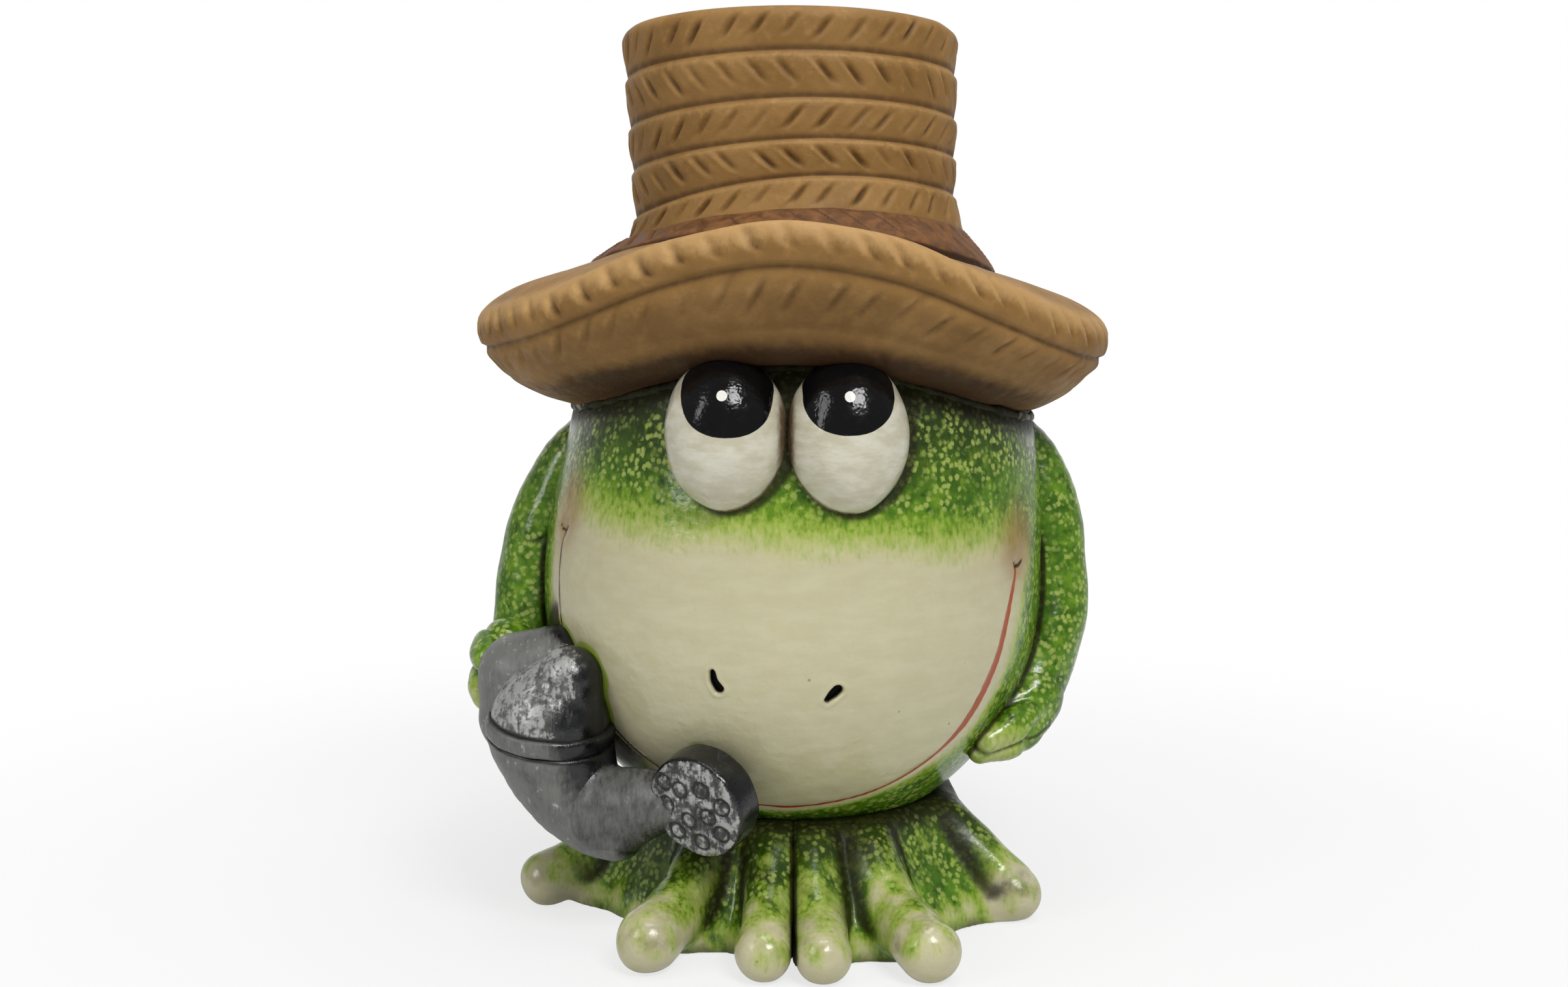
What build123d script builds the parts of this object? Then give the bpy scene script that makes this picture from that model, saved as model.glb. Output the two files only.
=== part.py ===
from build123d import *
import os
from math import asin, cos, degrees, radians, sin, sqrt

# Frog figurine in glazed earthenware: a ball-shaped frog in a straw hat, holding a watering can.
# Millimetres. +Z is up, -Y is the frog's front, +X is the viewer's right, the floor is Z = 0.
# Azimuths are degrees from the front, positive towards +X. A rise is a height above the ball's centre.

# Ball body
body_radius = 88.0          # waist, and the radius of the round lower half
body_centre_height = 110.0
head_arc_radius = 253.0     # the head narrows upwards on this arc, which starts upright at the waist
head_top_rise = 103.0       # the dome is flat above this, under the hat
body_wall = 6.0
vent_diameter = 3.0
mouth_width = 1.4
mouth_depth = 0.8
mouth_corner_azimuth = 60.5
mouth_corner_rise = 18.0
mouth_tilt = 4.5            # the face is modelled slightly crooked
mouth_dip = 47.0            # degrees below the waist at the middle of the mouth
face_turn = -2.5
nostril_length = 8.0
nostril_width = 2.4
nostril_depth = 2.5
nostril_spread = 12.8
nostril_rise = -20.5
nostril_slant = 38.0

# Eyes
eye_half_width = 18.4
eye_half_height = 24.5
eye_rise = 59.0
eye_stand_off = -2.0
eye_gap = 0.6
eyes_turn = -1.6

# Straw hat, with heights above its seat at the temples
hat_seat_rise = 64.0
hat_wall = 6.0
hat_bury = 6.0              # how far the brim is first run into the head, before it is trimmed to it
hat_tilt = 2.0              # the brim's right end is this much lower than its middle, the left end higher
seat_arch = 16.5            # front lift of the seat, of the brim's edge and of its foot by the band
edge_arch = 27.0
foot_arch = 11.0
seat_peak = 3.0             # how sharply the seat's and the edge's lift gather at the front; 2 is a plain arch
edge_peak = 3.5
back_share = 0.55           # how much of that lift the back has
brim_radius = 109.5
brim_edge_height = 25.5
brim_edge_half = 6.7        # half the height of the blunt edge
brim_edge_bulge = 2.4       # how far the edge's middle stands out
brim_sag = 3.6              # how far the underside hangs below a straight line from seat to edge
brim_front_sag = 9.0        # the same at the front, where it comes down over the eyes
brim_swell = 1.8            # how far the upper face stands over a straight line at the temples
brim_dish = 2.4             # how far it falls short of one at the front
brim_foot_height = 47.0     # where the upper face meets the band
brim_foot_step = 4.5        # rise from there, under the band, to the crown's hole
brim_stations = 9           # sections from front to back
crown_height = 77.5
crown_grooves = (           # share of the crown's height at the temples, front arch, rise to the right
    (0.071, 6.5, 2.0),
    (0.226, 6.6, 3.9),
    (0.414, 3.8, 2.1),
    (0.591, 3.0, 1.35),
    (0.796, 1.7, 0.55),
)
crown_foot_radius = 55.5
crown_top_radius = 57.5
crown_flare = 4.2           # how far the lowest row spreads towards the band
crown_lean = 2.2            # how far the top stands to the left of the foot
crown_recess = 0.8          # how far a row steps back at its lower edge
crown_lip = 0.5             # how far a row stands out at its upper edge
crown_step = 1.2            # height of the step from a lip to the next row
crown_shoulder = 5.0
crown_dish = 1.2            # how far the middle of the top lies below its edge
crown_ledge = 3.0           # width of the crown's bearing on the brim
crown_plug = 6.0            # how far the crown's floor reaches down into the brim
band_width = 14.0           # from the crown's foot to the brim's foot, measured level
band_edge = 1.0             # how far the band's lower edge stands out over the brim's foot
band_swell = 0.8            # how far the band's outside bulges
band_bury = 2.0             # how far the band is first run into crown and brim, before it is trimmed
bead_radius = 2.2
brim_foot_radius = crown_foot_radius + band_width
crown_foot_height = brim_foot_height + brim_foot_step

# Feet
leg_ring_drop = 50.5        # degrees below the waist where the skirt meets the ball
skirt_wall = 10.0
web_radius = 73.0
web_height = 8.0
feet_gap = 0.5
toe_root_radius = 12.0
toe_root_inset = 5.0        # how far inside the leg ring a toe starts
toe_sink = 0.6              # how much of a toe is cut away by the flat sole
inner_toe = (5.9, 92.0, 9.0)         # azimuth, reach of the tip's centre, tip radius
left_middle_toe = (-28.7, 95.0, 10.5)
left_outer_toe = (-75.5, 89.0, 9.5)
right_middle_toe = (24.7, 100.5, 10.0)
right_outer_toe = (65.0, 84.5, 9.0)

# Arms: azimuth, rise, stand-off from the ball and radius, from the shoulder down
right_arm_path = (
    (93.0, 58.0, -12.0, 10.5),
    (92.0, 40.0, -2.0, 12.5),
    (89.0, 4.0, 4.0, 14.0),
    (83.0, -24.0, 4.0, 13.0),
    (76.0, -40.0, 3.0, 11.0),
)
left_arm_path = (
    (-93.0, 58.0, -12.0, 10.5),
    (-92.0, 40.0, -2.0, 12.5),
    (-90.0, 4.0, 4.0, 14.0),
    (-87.0, -14.0, 7.0, 13.0),
    (-84.0, -30.0, 13.0, 12.0),
)
right_palm = ((76.0, -39.0, 3.0, 11.5), (65.0, -46.0, 2.5, 9.5))
right_fingers = (
    ((68.0, -41.0, 4.0, 6.5), (57.0, -47.0, 2.0, 5.5)),
    ((68.0, -46.0, 3.0, 6.5), (58.0, -51.0, 1.5, 5.5)),
)

# Watering can, carried by one spot on the ball behind its mouth. Its main points, and those of the hand that
# grips it, are measured from that spot: towards the viewer's right, outwards, up, and a radius where needed
can_azimuth = -57.5
can_rise = -34.0
left_palm = ((-33.0, 14.0, 15.0, 11.5), (-28.5, 17.0, 3.0, 11.5))
left_fingers = (
    ((-33.5, 20.0, 16.0, 7.5), (-26.0, 24.0, 14.0, 6.0)),
    ((-31.5, 22.0, 6.0, 7.5), (-25.0, 25.0, 2.0, 6.0)),
)
can_barrel_path = (
    (-2.0, 15.5, 4.0, 20.5),
    (0.6, 14.6, -6.3, 20.4),
    (5.3, 11.0, -20.9, 17.2),
    (13.1, 6.2, -32.5, 13.0),
    (22.3, 1.2, -37.6, 9.5),
)
can_rim_place = (0.6, 14.6, -8.5)
can_rim_lean = 11.0         # the mouth leans to the viewer's right, away from the barrel
can_mouth_radius = 20.8
can_rim_width = 7.0
can_rim_lip = 0.8
can_rim_groove = 0.8
can_dome_radius = 19.5
can_dome_height = 16.0
can_handle_path = (
    (-14.0, 19.0, -4.0, 13.5),
    (-15.5, 16.5, 9.0, 14.5),
    (-7.0, 8.0, 15.0, 12.0),
)
can_spout_path = (
    (19.0, 3.0, -31.5, 11.5),
    (27.0, -2.0, -29.5, 11.0),
    (35.0, -9.5, -26.5, 7.8),
    (42.0, -14.0, -25.2, 7.5),
)
rose_place = (53.8, -9.3, -24.3)     # centre of the sprinkler's face
rose_radius = 17.3
rose_edge = 12.0
rose_back = 5.0
rose_neck_radius = 10.0
rose_turn = -32.0
rose_droop = 14.0
ring_count = 8
ring_circle_radius = 11.5
ring_outer_radius = 2.8
ring_inner_radius = 1.7
ring_height = 0.6


def body_reach(rise):
    """Radius of the body's outside at a height above the ball's centre."""
    if rise <= 0:
        return sqrt(body_radius ** 2 - rise ** 2)
    return sqrt(head_arc_radius ** 2 - rise ** 2) - (head_arc_radius - body_radius)


def on_body(azimuth, rise, stand_off=0.0):
    """Point over the body's outside, moved out along the surface's normal."""
    heading = Vector(sin(radians(azimuth)), -cos(radians(azimuth)), 0)
    arc_centre = heading * (body_radius - head_arc_radius) if rise > 0 else Vector(0, 0, 0)
    point = heading * body_reach(rise) + Vector(0, 0, rise)
    normal = (point - arc_centre).normalized()
    return point + normal * stand_off + Vector(0, 0, body_centre_height)


def on_can(across, outwards, up):
    """Point measured from the spot on the ball that carries the can."""
    right = (cos(radians(can_azimuth)), sin(radians(can_azimuth)), 0)
    spot = Plane(origin=on_body(can_azimuth, can_rise), x_dir=right, z_dir=(0, 0, 1))
    return spot.from_local_coords(Vector(across, -outwards, up))


def body_solid(inset=0.0):
    """Egg-shaped body as a filled solid, smaller by inset all round."""
    radius = body_radius - inset
    arc_radius = head_arc_radius - inset
    top = head_top_rise - inset
    half_turn = sin(radians(45)) * radius

    def head_point(rise):
        return sqrt(arc_radius ** 2 - rise ** 2) - (head_arc_radius - body_radius), rise

    outline = ThreePointArc((0, -radius), (half_turn, -half_turn), (radius, 0))
    outline += ThreePointArc((radius, 0), head_point(top / 2), head_point(top))
    outline += Polyline(head_point(top), (0, top), (0, -radius))
    return Pos(0, 0, body_centre_height) * revolve(make_face(Plane.XZ * outline), Axis.Z)


def tapered_capsule(start, start_radius, end, end_radius):
    """Two balls of different size with the cone that touches both."""
    along = end - start
    length = along.length
    lean = asin((start_radius - end_radius) / length)
    out, up = cos(lean), sin(lean)
    low_edge = (start_radius * out, start_radius * up)
    high_edge = (end_radius * out, length + end_radius * up)
    low_mid = (start_radius * cos((lean - radians(90)) / 2), start_radius * sin((lean - radians(90)) / 2))
    high_mid = (end_radius * cos((lean + radians(90)) / 2),
                length + end_radius * sin((lean + radians(90)) / 2))
    outline = ThreePointArc((0, -start_radius), low_mid, low_edge)
    outline += Line(low_edge, high_edge)
    outline += ThreePointArc(high_edge, high_mid, (0, length + end_radius))
    outline += Line((0, length + end_radius), (0, -start_radius))
    solid = revolve(make_face(Plane.XZ * outline), Axis.Z)
    return Plane(origin=start, z_dir=along) * solid


def capsule_between(first, second, locate):
    """Tapered capsule between two stations of place and radius, with locate turning a place into a point."""
    return tapered_capsule(locate(*first[:3]), first[3], locate(*second[:3]), second[3])


def limb(path, locate):
    """Smooth tube through round sections at stations of place and radius."""
    points = [locate(*station[:3]) for station in path]
    sections = []
    for index, station in enumerate(path):
        before = points[max(index - 1, 0)]
        after = points[min(index + 1, len(points) - 1)]
        section_plane = Plane(origin=points[index], x_dir=(0, 1, 0), z_dir=after - before)
        sections.append(section_plane * Circle(station[3]))
    return loft(sections)


def make_mouth():
    """Thin groove where a slanted plane meets the ball, from corner to corner under the face."""
    corner_rises = (mouth_corner_rise + mouth_tilt * 1.5, mouth_corner_rise - mouth_tilt * 1.5)
    left = on_body(face_turn - mouth_corner_azimuth, corner_rises[0])
    right = on_body(face_turn + mouth_corner_azimuth, corner_rises[1])
    middle = on_body(face_turn, -body_radius * sin(radians(mouth_dip)))
    normal = (right - left).cross(middle - left)
    slab_size = 4 * body_radius
    slab = Plane(origin=middle, x_dir=right - left, z_dir=normal) * Box(slab_size, slab_size, mouth_width)
    ahead = (middle - (left + right) * 0.5).normalized()
    keep = Plane(origin=(left + right) * 0.5, x_dir=right - left, z_dir=ahead)
    keep = keep * Pos(0, 0, slab_size / 2) * Box(slab_size, slab_size, slab_size)
    return (slab & keep) - body_solid(mouth_depth)


def make_nostril(side):
    """Slanted slot cut into the ball, side -1 or 1."""
    place = on_body(face_turn + side * nostril_spread, nostril_rise)
    outward = place - Vector(0, 0, body_centre_height)
    plane = Plane(origin=place, x_dir=(1, 0, 0), z_dir=outward)
    slot = Rot(0, 0, side * (90 - nostril_slant)) * SlotOverall(nostril_length, nostril_width)
    return plane * extrude(slot, nostril_depth, both=True)


def make_body():
    shell = body_solid() - body_solid(body_wall)
    shell -= make_mouth()
    for side in (-1, 1):
        shell -= make_nostril(side)
    vent_height = body_centre_height - body_radius
    return shell - Pos(0, 0, vent_height) * Cylinder(vent_diameter / 2, 4 * body_wall)


def make_eye(side):
    """Upright egg that stands out of the head, side -1 or 1."""
    reach = body_reach(eye_rise)
    azimuth = eyes_turn + side * degrees(asin((eye_half_width + eye_gap / 2) / (reach + eye_stand_off)))
    outline = EllipticalCenterArc((0, 0), eye_half_width, eye_half_height, -90, arc_size=180)
    outline += Line((0, eye_half_height), (0, -eye_half_height))
    egg = revolve(make_face(Plane.XZ * outline), Axis.Z)
    return Pos(on_body(azimuth, eye_rise, eye_stand_off)) * egg


def hat_lift(azimuth, peak=2.0):
    """Share of the front lift at an azimuth: none at the temples, part of it at the back."""
    share = 1.0 if abs(azimuth) <= 90 else back_share
    return share * abs(cos(radians(azimuth))) ** peak


def tilt_drop(azimuth, radius):
    """How much the hat's tilt lowers a point of the brim."""
    return hat_tilt * sin(radians(azimuth)) * radius / brim_radius


def hat_levels(azimuth):
    """Heights of the seat on the head, of the brim's edge and of the brim's foot by the band."""
    seat = body_centre_height + hat_seat_rise
    lift = hat_lift(azimuth)
    edge_lift = hat_lift(azimuth, edge_peak)
    return (
        seat + seat_arch * hat_lift(azimuth, seat_peak) - tilt_drop(azimuth, brim_radius),
        seat + brim_edge_height + edge_arch * edge_lift - tilt_drop(azimuth, brim_radius),
        seat + brim_foot_height + foot_arch * lift - tilt_drop(azimuth, brim_foot_radius),
    )


def hat_plane(azimuth):
    """Upright plane through the axis: its x runs outwards and its y up."""
    across, ahead = sin(radians(azimuth)), cos(radians(azimuth))
    return Plane(origin=(0, 0, 0), x_dir=(across, -ahead, 0), z_dir=(-ahead, -across, 0))


def hat_ring(section):
    """Ring of two halves, each lofted through upright sections from front to back."""
    step = 180 / (brim_stations - 1)
    halves = []
    for side in (1, -1):
        azimuths = [side * step * index for index in range(brim_stations)]
        halves.append(loft([hat_plane(azimuth) * section(azimuth) for azimuth in azimuths]))
    return halves[0] + halves[1]


def brim_corners(azimuth):
    """Inner end of the underside, run into the head, and the lower and upper end of the edge."""
    seat, edge = hat_levels(azimuth)[:2]
    seat_radius = body_reach(seat - body_centre_height)
    rim = brim_radius - brim_edge_bulge
    slope = (edge - brim_edge_half - seat) / (rim - seat_radius)
    inner = (seat_radius - hat_bury, seat - hat_bury * slope / 2)
    return inner, (rim, edge - brim_edge_half), (rim, edge + brim_edge_half)


def brim_section(azimuth):
    """Outside of the brim, filled in to the crown's hole."""
    seat, edge, foot = hat_levels(azimuth)
    inner, low, high = brim_corners(azimuth)
    hole = crown_foot_radius - crown_ledge
    seat_radius = body_reach(seat - body_centre_height)
    sag = brim_sag + (brim_front_sag - brim_sag) * hat_lift(azimuth, seat_peak)
    under = ((seat_radius + low[0]) / 2, (seat + low[1]) / 2 - sag)
    swell = brim_swell - (brim_swell + brim_dish) * hat_lift(azimuth)
    upper = ((high[0] + brim_foot_radius) / 2, (high[1] + foot) / 2 + swell)
    outline = Spline(inner, under, low)
    outline += ThreePointArc(low, (brim_radius, edge), high)
    outline += Spline(high, upper, (brim_foot_radius, foot))
    outline += Polyline((brim_foot_radius, foot), (hole, foot + brim_foot_step), (hole, inner[1]), inner)
    return make_face(outline)


def brim_hollow_section(azimuth):
    """Wedge-shaped hollow of the brim, at least a wall inside its outside."""
    edge, foot = hat_levels(azimuth)[1:]
    inner, low = brim_corners(azimuth)[:2]
    within = crown_foot_radius - crown_ledge - hat_wall
    floor = inner[1] + 1.4 * hat_wall
    roof = (within, foot - hat_wall)
    tip = (low[0] - 1.5 * hat_wall, edge - brim_dish)
    return make_face(Polyline(roof, tip, (inner[0], floor), (within, floor), roof))


def bead_section(azimuth):
    """Round bead in the corner between head and brim."""
    seat = hat_levels(azimuth)[0]
    return Pos(body_reach(seat - body_centre_height), seat) * Circle(bead_radius)


def crown_lines(azimuth):
    """Middle radius and height of each groove between the rows, from the band up."""
    foot = body_centre_height + hat_seat_rise + crown_foot_height
    rightwards = sin(radians(azimuth))
    lines = []
    for share, arch, rise in crown_grooves:
        radius = crown_foot_radius + share * (crown_top_radius - crown_foot_radius)
        radius += crown_lean * (0.5 - share) * rightwards
        height = foot + share * crown_height + arch * hat_lift(azimuth) + rise * rightwards
        lines.append((radius, height))
    return lines


def crown_section(azimuth):
    """Outside of the crown, filled in to within its hollow: rows that stand out towards their upper edge."""
    foot = body_centre_height + hat_seat_rise + crown_foot_height
    bottom, top = foot - crown_plug, foot + crown_height
    core = crown_foot_radius - crown_ledge - 2 * hat_wall
    lines = crown_lines(azimuth)
    start = (lines[0][0] + crown_flare, lines[0][1])
    outline = Polyline((core, bottom), (lines[0][0], bottom), start)
    for radius, height in lines[1:]:
        lip = (radius + crown_lip, height - crown_step)
        step = (radius - crown_recess, height)
        middle = ((start[0] + 2 * lip[0]) / 3, (start[1] + lip[1]) / 2)
        outline += Spline(start, middle, lip)
        outline += Line(lip, step)
        start = step
    edge = crown_top_radius - crown_lean / 2 * sin(radians(azimuth))
    turn = crown_shoulder * (1 - cos(radians(45)))
    side, shelf = (edge, top - crown_shoulder), (edge - crown_shoulder, top)
    outline += Line(start, side)
    outline += ThreePointArc(side, (edge - turn, top - turn), shelf)
    outline += Polyline(shelf, (core, top), (core, bottom))
    return make_face(outline)


def crown_outside():
    """Crown without its hollow, with a slightly dished top."""
    foot = body_centre_height + hat_seat_rise + crown_foot_height
    low, high = foot - crown_plug, foot + crown_height - crown_dish
    core = crown_foot_radius - crown_ledge - hat_wall / 2
    return hat_ring(crown_section) + Pos(0, 0, (low + high) / 2) * Cylinder(core, high - low)


def make_crown(crown_filled, brim_filled):
    """Closed hollow crown whose floor plugs the hole in the brim."""
    foot = body_centre_height + hat_seat_rise + crown_foot_height
    hollow_radius = crown_foot_radius - crown_ledge - hat_wall
    low = foot - crown_plug + hat_wall
    high = foot + crown_height - crown_dish - hat_wall
    hollow = Pos(0, 0, (low + high) / 2) * Cylinder(hollow_radius, high - low)
    return crown_filled - hollow - brim_filled


def band_section(azimuth):
    """Flat plait that leans in the corner between crown and brim."""
    foot = hat_levels(azimuth)[2]
    radius, height = crown_lines(azimuth)[0]
    toe = (brim_foot_radius + band_edge, foot + band_edge)
    top = (radius + crown_flare, height + band_swell)
    inside = radius - band_bury
    bulge = ((toe[0] + top[0]) / 2 + band_swell, (toe[1] + top[1]) / 2 + band_swell)
    outline = Spline(toe, bulge, top)
    outline += Polyline(top, (inside, height), (inside, foot - band_bury), (toe[0], foot - band_bury), toe)
    return make_face(outline)


def make_foot(side, toes):
    """Half of the skirt under the ball, with three toes and the webs between them, side -1 or 1."""
    ring_radius = body_radius * cos(radians(leg_ring_drop))
    ring_height = body_centre_height - body_radius * sin(radians(leg_ring_drop))
    bore_radius = ring_radius - skirt_wall
    bore_height = body_centre_height - sqrt(body_radius ** 2 - bore_radius ** 2)
    outline = Polyline((bore_radius, 0), (web_radius, 0), (web_radius, web_height),
                       (ring_radius, ring_height + 1), (bore_radius, bore_height + 1), (bore_radius, 0))
    foot = revolve(make_face(Plane.XZ * outline), Axis.Z)
    root_reach = ring_radius - toe_root_inset
    root_height = ring_height - toe_root_radius
    for azimuth, reach, radius in toes:
        heading = Vector(sin(radians(azimuth)), -cos(radians(azimuth)), 0)
        root = heading * root_reach + Vector(0, 0, root_height)
        tip = heading * reach + Vector(0, 0, radius - toe_sink)
        foot += tapered_capsule(root, toe_root_radius, tip, radius)
    span = 4 * brim_radius
    room = Pos(side * (span + feet_gap) / 2, 0, span / 2) * Box(span, span, span)
    bore = Cylinder(bore_radius, 4 * body_radius)
    return (foot & room) - bore


def make_can_handle():
    """Hood-like lump of two runs behind the dome."""
    low, top, end = can_handle_path
    return capsule_between(low, top, on_can) + capsule_between(top, end, on_can)


def make_hand(palm, fingers, locate):
    hand = capsule_between(*palm, locate)
    for finger in fingers:
        hand += capsule_between(*finger, locate)
    return hand


def can_plane():
    """Plane in the can's mouth, looking out of the can."""
    right = Vector(cos(radians(can_azimuth)), sin(radians(can_azimuth)), 0)
    axis = right * sin(radians(can_rim_lean)) + Vector(0, 0, cos(radians(can_rim_lean)))
    return Plane(origin=on_can(*can_rim_place), z_dir=axis)


def make_can_body():
    """Curved barrel that narrows towards the spout and ends level under the rim."""
    room = 8 * can_mouth_radius
    above = can_plane() * Pos(0, 0, room / 2) * Box(room, room, room)
    return limb(can_barrel_path, on_can) - above


def make_can_rim():
    """Flat ring on the mouth with two rounded rows."""
    outside = can_mouth_radius + can_rim_lip
    row = can_rim_width / 2
    outline = Line((0, 0), (outside - can_rim_groove, 0))
    for index in range(2):
        low = (outside - can_rim_groove, index * row)
        high = (outside - can_rim_groove, (index + 1) * row)
        outline += ThreePointArc(low, (outside, (index + 0.5) * row), high)
    outline += Polyline((outside - can_rim_groove, can_rim_width), (0, can_rim_width), (0, 0))
    return can_plane() * revolve(make_face(Plane.XZ * outline), Axis.Z)


def make_can_dome():
    """Ball-shaped cover on the rim."""
    ball_radius = (can_dome_radius ** 2 + can_dome_height ** 2) / (2 * can_dome_height)
    half_turn = asin(can_dome_radius / ball_radius) / 2
    middle = (ball_radius * sin(half_turn), can_dome_height - ball_radius * (1 - cos(half_turn)))
    outline = ThreePointArc((can_dome_radius, 0), middle, (0, can_dome_height))
    outline += Polyline((0, can_dome_height), (0, 0), (can_dome_radius, 0))
    dome = revolve(make_face(Plane.XZ * outline), Axis.Z)
    return can_plane() * Pos(0, 0, can_rim_width) * dome


def rose_plane():
    """Plane of the sprinkler's face, looking outwards."""
    outward = Vector(
        sin(radians(rose_turn)) * cos(radians(rose_droop)),
        -cos(radians(rose_turn)) * cos(radians(rose_droop)),
        -sin(radians(rose_droop)),
    )
    return Plane(origin=on_can(*rose_place), x_dir=(1, 0, 0), z_dir=outward)


def make_rose():
    """Sprinkler head: a short drum with a cone behind it."""
    outline = Polyline((0, 0), (rose_radius, 0), (rose_radius, -rose_edge),
                       (rose_neck_radius, -rose_edge - rose_back), (0, -rose_edge - rose_back), (0, 0))
    return rose_plane() * revolve(make_face(Plane.XZ * outline), Axis.Z)


def make_rose_rings():
    """Raised rings spread round the sprinkler's face."""
    ring = Cylinder(ring_outer_radius, ring_height) - Cylinder(ring_inner_radius, ring_height)
    spots = PolarLocations(ring_circle_radius, ring_count)
    return [rose_plane() * Pos(0, 0, ring_height / 2) * spot * ring for spot in spots]


def build():
    """All nodes by name, each trimmed to the pieces that it is bedded on."""
    filled_body = body_solid()
    filled_brim = hat_ring(brim_section)
    nodes = {"body_shell": make_body()}
    nodes["hat_brim"] = filled_brim - hat_ring(brim_hollow_section) - filled_body
    filled_crown = crown_outside()
    nodes["hat_crown"] = make_crown(filled_crown, filled_brim)
    nodes["hat_band"] = hat_ring(band_section) - filled_brim - filled_crown
    nodes["hat_bead"] = hat_ring(bead_section) - filled_body - filled_brim
    for name, side in (("left_eye", -1), ("right_eye", 1)):
        nodes[name] = make_eye(side) - filled_body - filled_brim - nodes["hat_bead"]
    left_inner = (-inner_toe[0], *inner_toe[1:])
    nodes["left_foot"] = make_foot(-1, (left_inner, left_middle_toe, left_outer_toe)) - filled_body
    nodes["right_foot"] = make_foot(1, (inner_toe, right_middle_toe, right_outer_toe)) - filled_body
    for name, path in (("left_arm", left_arm_path), ("right_arm", right_arm_path)):
        nodes[name] = limb(path, on_body) - filled_body
    right_hand = make_hand(right_palm, right_fingers, on_body)
    nodes["right_hand"] = right_hand - filled_body - nodes["right_arm"] - nodes["right_foot"]
    carriers = [filled_body, nodes["left_arm"], nodes["left_foot"]]
    nodes["can_body"] = make_can_body() - carriers
    nodes["can_rim"] = make_can_rim() - carriers
    nodes["can_dome"] = make_can_dome() - carriers
    barrel = [nodes["can_body"], nodes["can_rim"], nodes["can_dome"]]
    nodes["can_handle"] = make_can_handle() - carriers - barrel
    nodes["can_rose"] = make_rose() - carriers - barrel
    nodes["can_rose_rings"] = make_rose_rings()
    nodes["can_spout"] = limb(can_spout_path, on_can) - carriers - barrel - nodes["can_rose"]
    left_hand = make_hand(left_palm, left_fingers, on_can)
    nodes["left_hand"] = left_hand - carriers - barrel - nodes["can_handle"]
    return nodes


os.makedirs("parts", exist_ok=True)
for node_name, shape in build().items():
    solids = shape if isinstance(shape, list) else [shape]
    export_step(Compound(children=[solid for item in solids for solid in item.solids()]),
                f"parts/{node_name}.step")
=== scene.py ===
from math import radians

import bpy
import numpy as np
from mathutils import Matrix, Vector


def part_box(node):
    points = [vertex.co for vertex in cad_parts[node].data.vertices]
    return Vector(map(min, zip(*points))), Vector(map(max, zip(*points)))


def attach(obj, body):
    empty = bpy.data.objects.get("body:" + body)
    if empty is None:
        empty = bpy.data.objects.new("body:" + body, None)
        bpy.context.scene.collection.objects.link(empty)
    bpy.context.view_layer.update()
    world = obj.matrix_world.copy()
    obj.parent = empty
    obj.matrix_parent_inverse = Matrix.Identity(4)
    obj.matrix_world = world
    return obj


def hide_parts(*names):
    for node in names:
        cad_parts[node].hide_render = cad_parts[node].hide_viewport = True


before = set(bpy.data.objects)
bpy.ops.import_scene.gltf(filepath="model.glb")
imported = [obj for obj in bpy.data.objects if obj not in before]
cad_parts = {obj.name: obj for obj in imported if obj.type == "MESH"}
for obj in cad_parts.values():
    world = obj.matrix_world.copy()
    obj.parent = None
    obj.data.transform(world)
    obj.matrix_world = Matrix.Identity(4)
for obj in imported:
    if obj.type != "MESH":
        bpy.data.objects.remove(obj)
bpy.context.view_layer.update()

# Looks of the frog figurine. Lengths are millimetres in the part's frame until a mesh is made.
# Azimuths are measured from the front, positive towards +X, as in the solids.
MM = 0.001

body_low, body_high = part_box("body_shell")
BODY_RADIUS = (body_high.x - body_low.x) / 2 / MM
BODY_CENTRE = body_low.z / MM + BODY_RADIUS
HEAD_ARC = 253.0            # radius of the arc on which the head narrows upwards
HEAD_TOP = body_high.z / MM - BODY_CENTRE
HEAD_LEAN = 3.0             # how far the top of the head stands to the right


# Small tools for shapes

def smoothstep(low, high, value):
    share = np.clip((value - low) / (high - low), 0.0, 1.0)
    return share * share * (3 - 2 * share)


def smooth_max(first, second, width):
    """Larger of two distances, rounded off where they are closer than width."""
    overlap = np.maximum(width - np.abs(first - second), 0) / width
    return np.maximum(first, second) + overlap * overlap * width / 4


def smooth_min(first, second, width):
    return -smooth_max(-first, -second, width)


def bump_at(value, centre, width):
    return np.exp(-((value - centre) / width) ** 2)


def ripple(points, size, seed, waves=9):
    """Soft seeded unevenness of about -1 to 1, with bumps about as wide as size."""
    rng = np.random.default_rng(seed)
    total = np.zeros(points.shape[:-1])
    for _ in range(waves):
        heading = rng.normal(size=3)
        heading *= 2 * np.pi / size * rng.uniform(0.6, 1.4) / np.linalg.norm(heading)
        total += np.sin(points @ heading + rng.uniform(0, 2 * np.pi))
    return total / waves ** 0.5 / 1.4


def uneven_spread(low, high, count, spots):
    """Values from low to high, packed closer round each spot of centre, half-width and gain."""
    fine = np.linspace(low, high, 6000)
    density = 1 + sum(gain * bump_at(fine, centre, width) for centre, width, gain in spots)
    share = np.cumsum(density)
    return np.interp(np.linspace(0, 1, count), (share - share[0]) / (share[-1] - share[0]), fine)


def smooth_curve(knots, steps):
    """Points on a smooth curve through knots, with the given number of steps between each two."""
    knots = np.asarray(knots, float)
    ends = np.vstack([2 * knots[0] - knots[1], knots, 2 * knots[-1] - knots[-2]])
    t = np.linspace(0, 1, steps, endpoint=False)[:, None]
    runs = []
    for a, b, c, d in zip(ends, ends[1:], ends[2:], ends[3:]):
        runs.append(0.5 * (2 * b + (c - a) * t + (2 * a - 5 * b + 4 * c - d) * t ** 2
                           + (3 * b - a - 3 * c + d) * t ** 3))
    return np.vstack([*runs, knots[-1:]])


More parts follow.
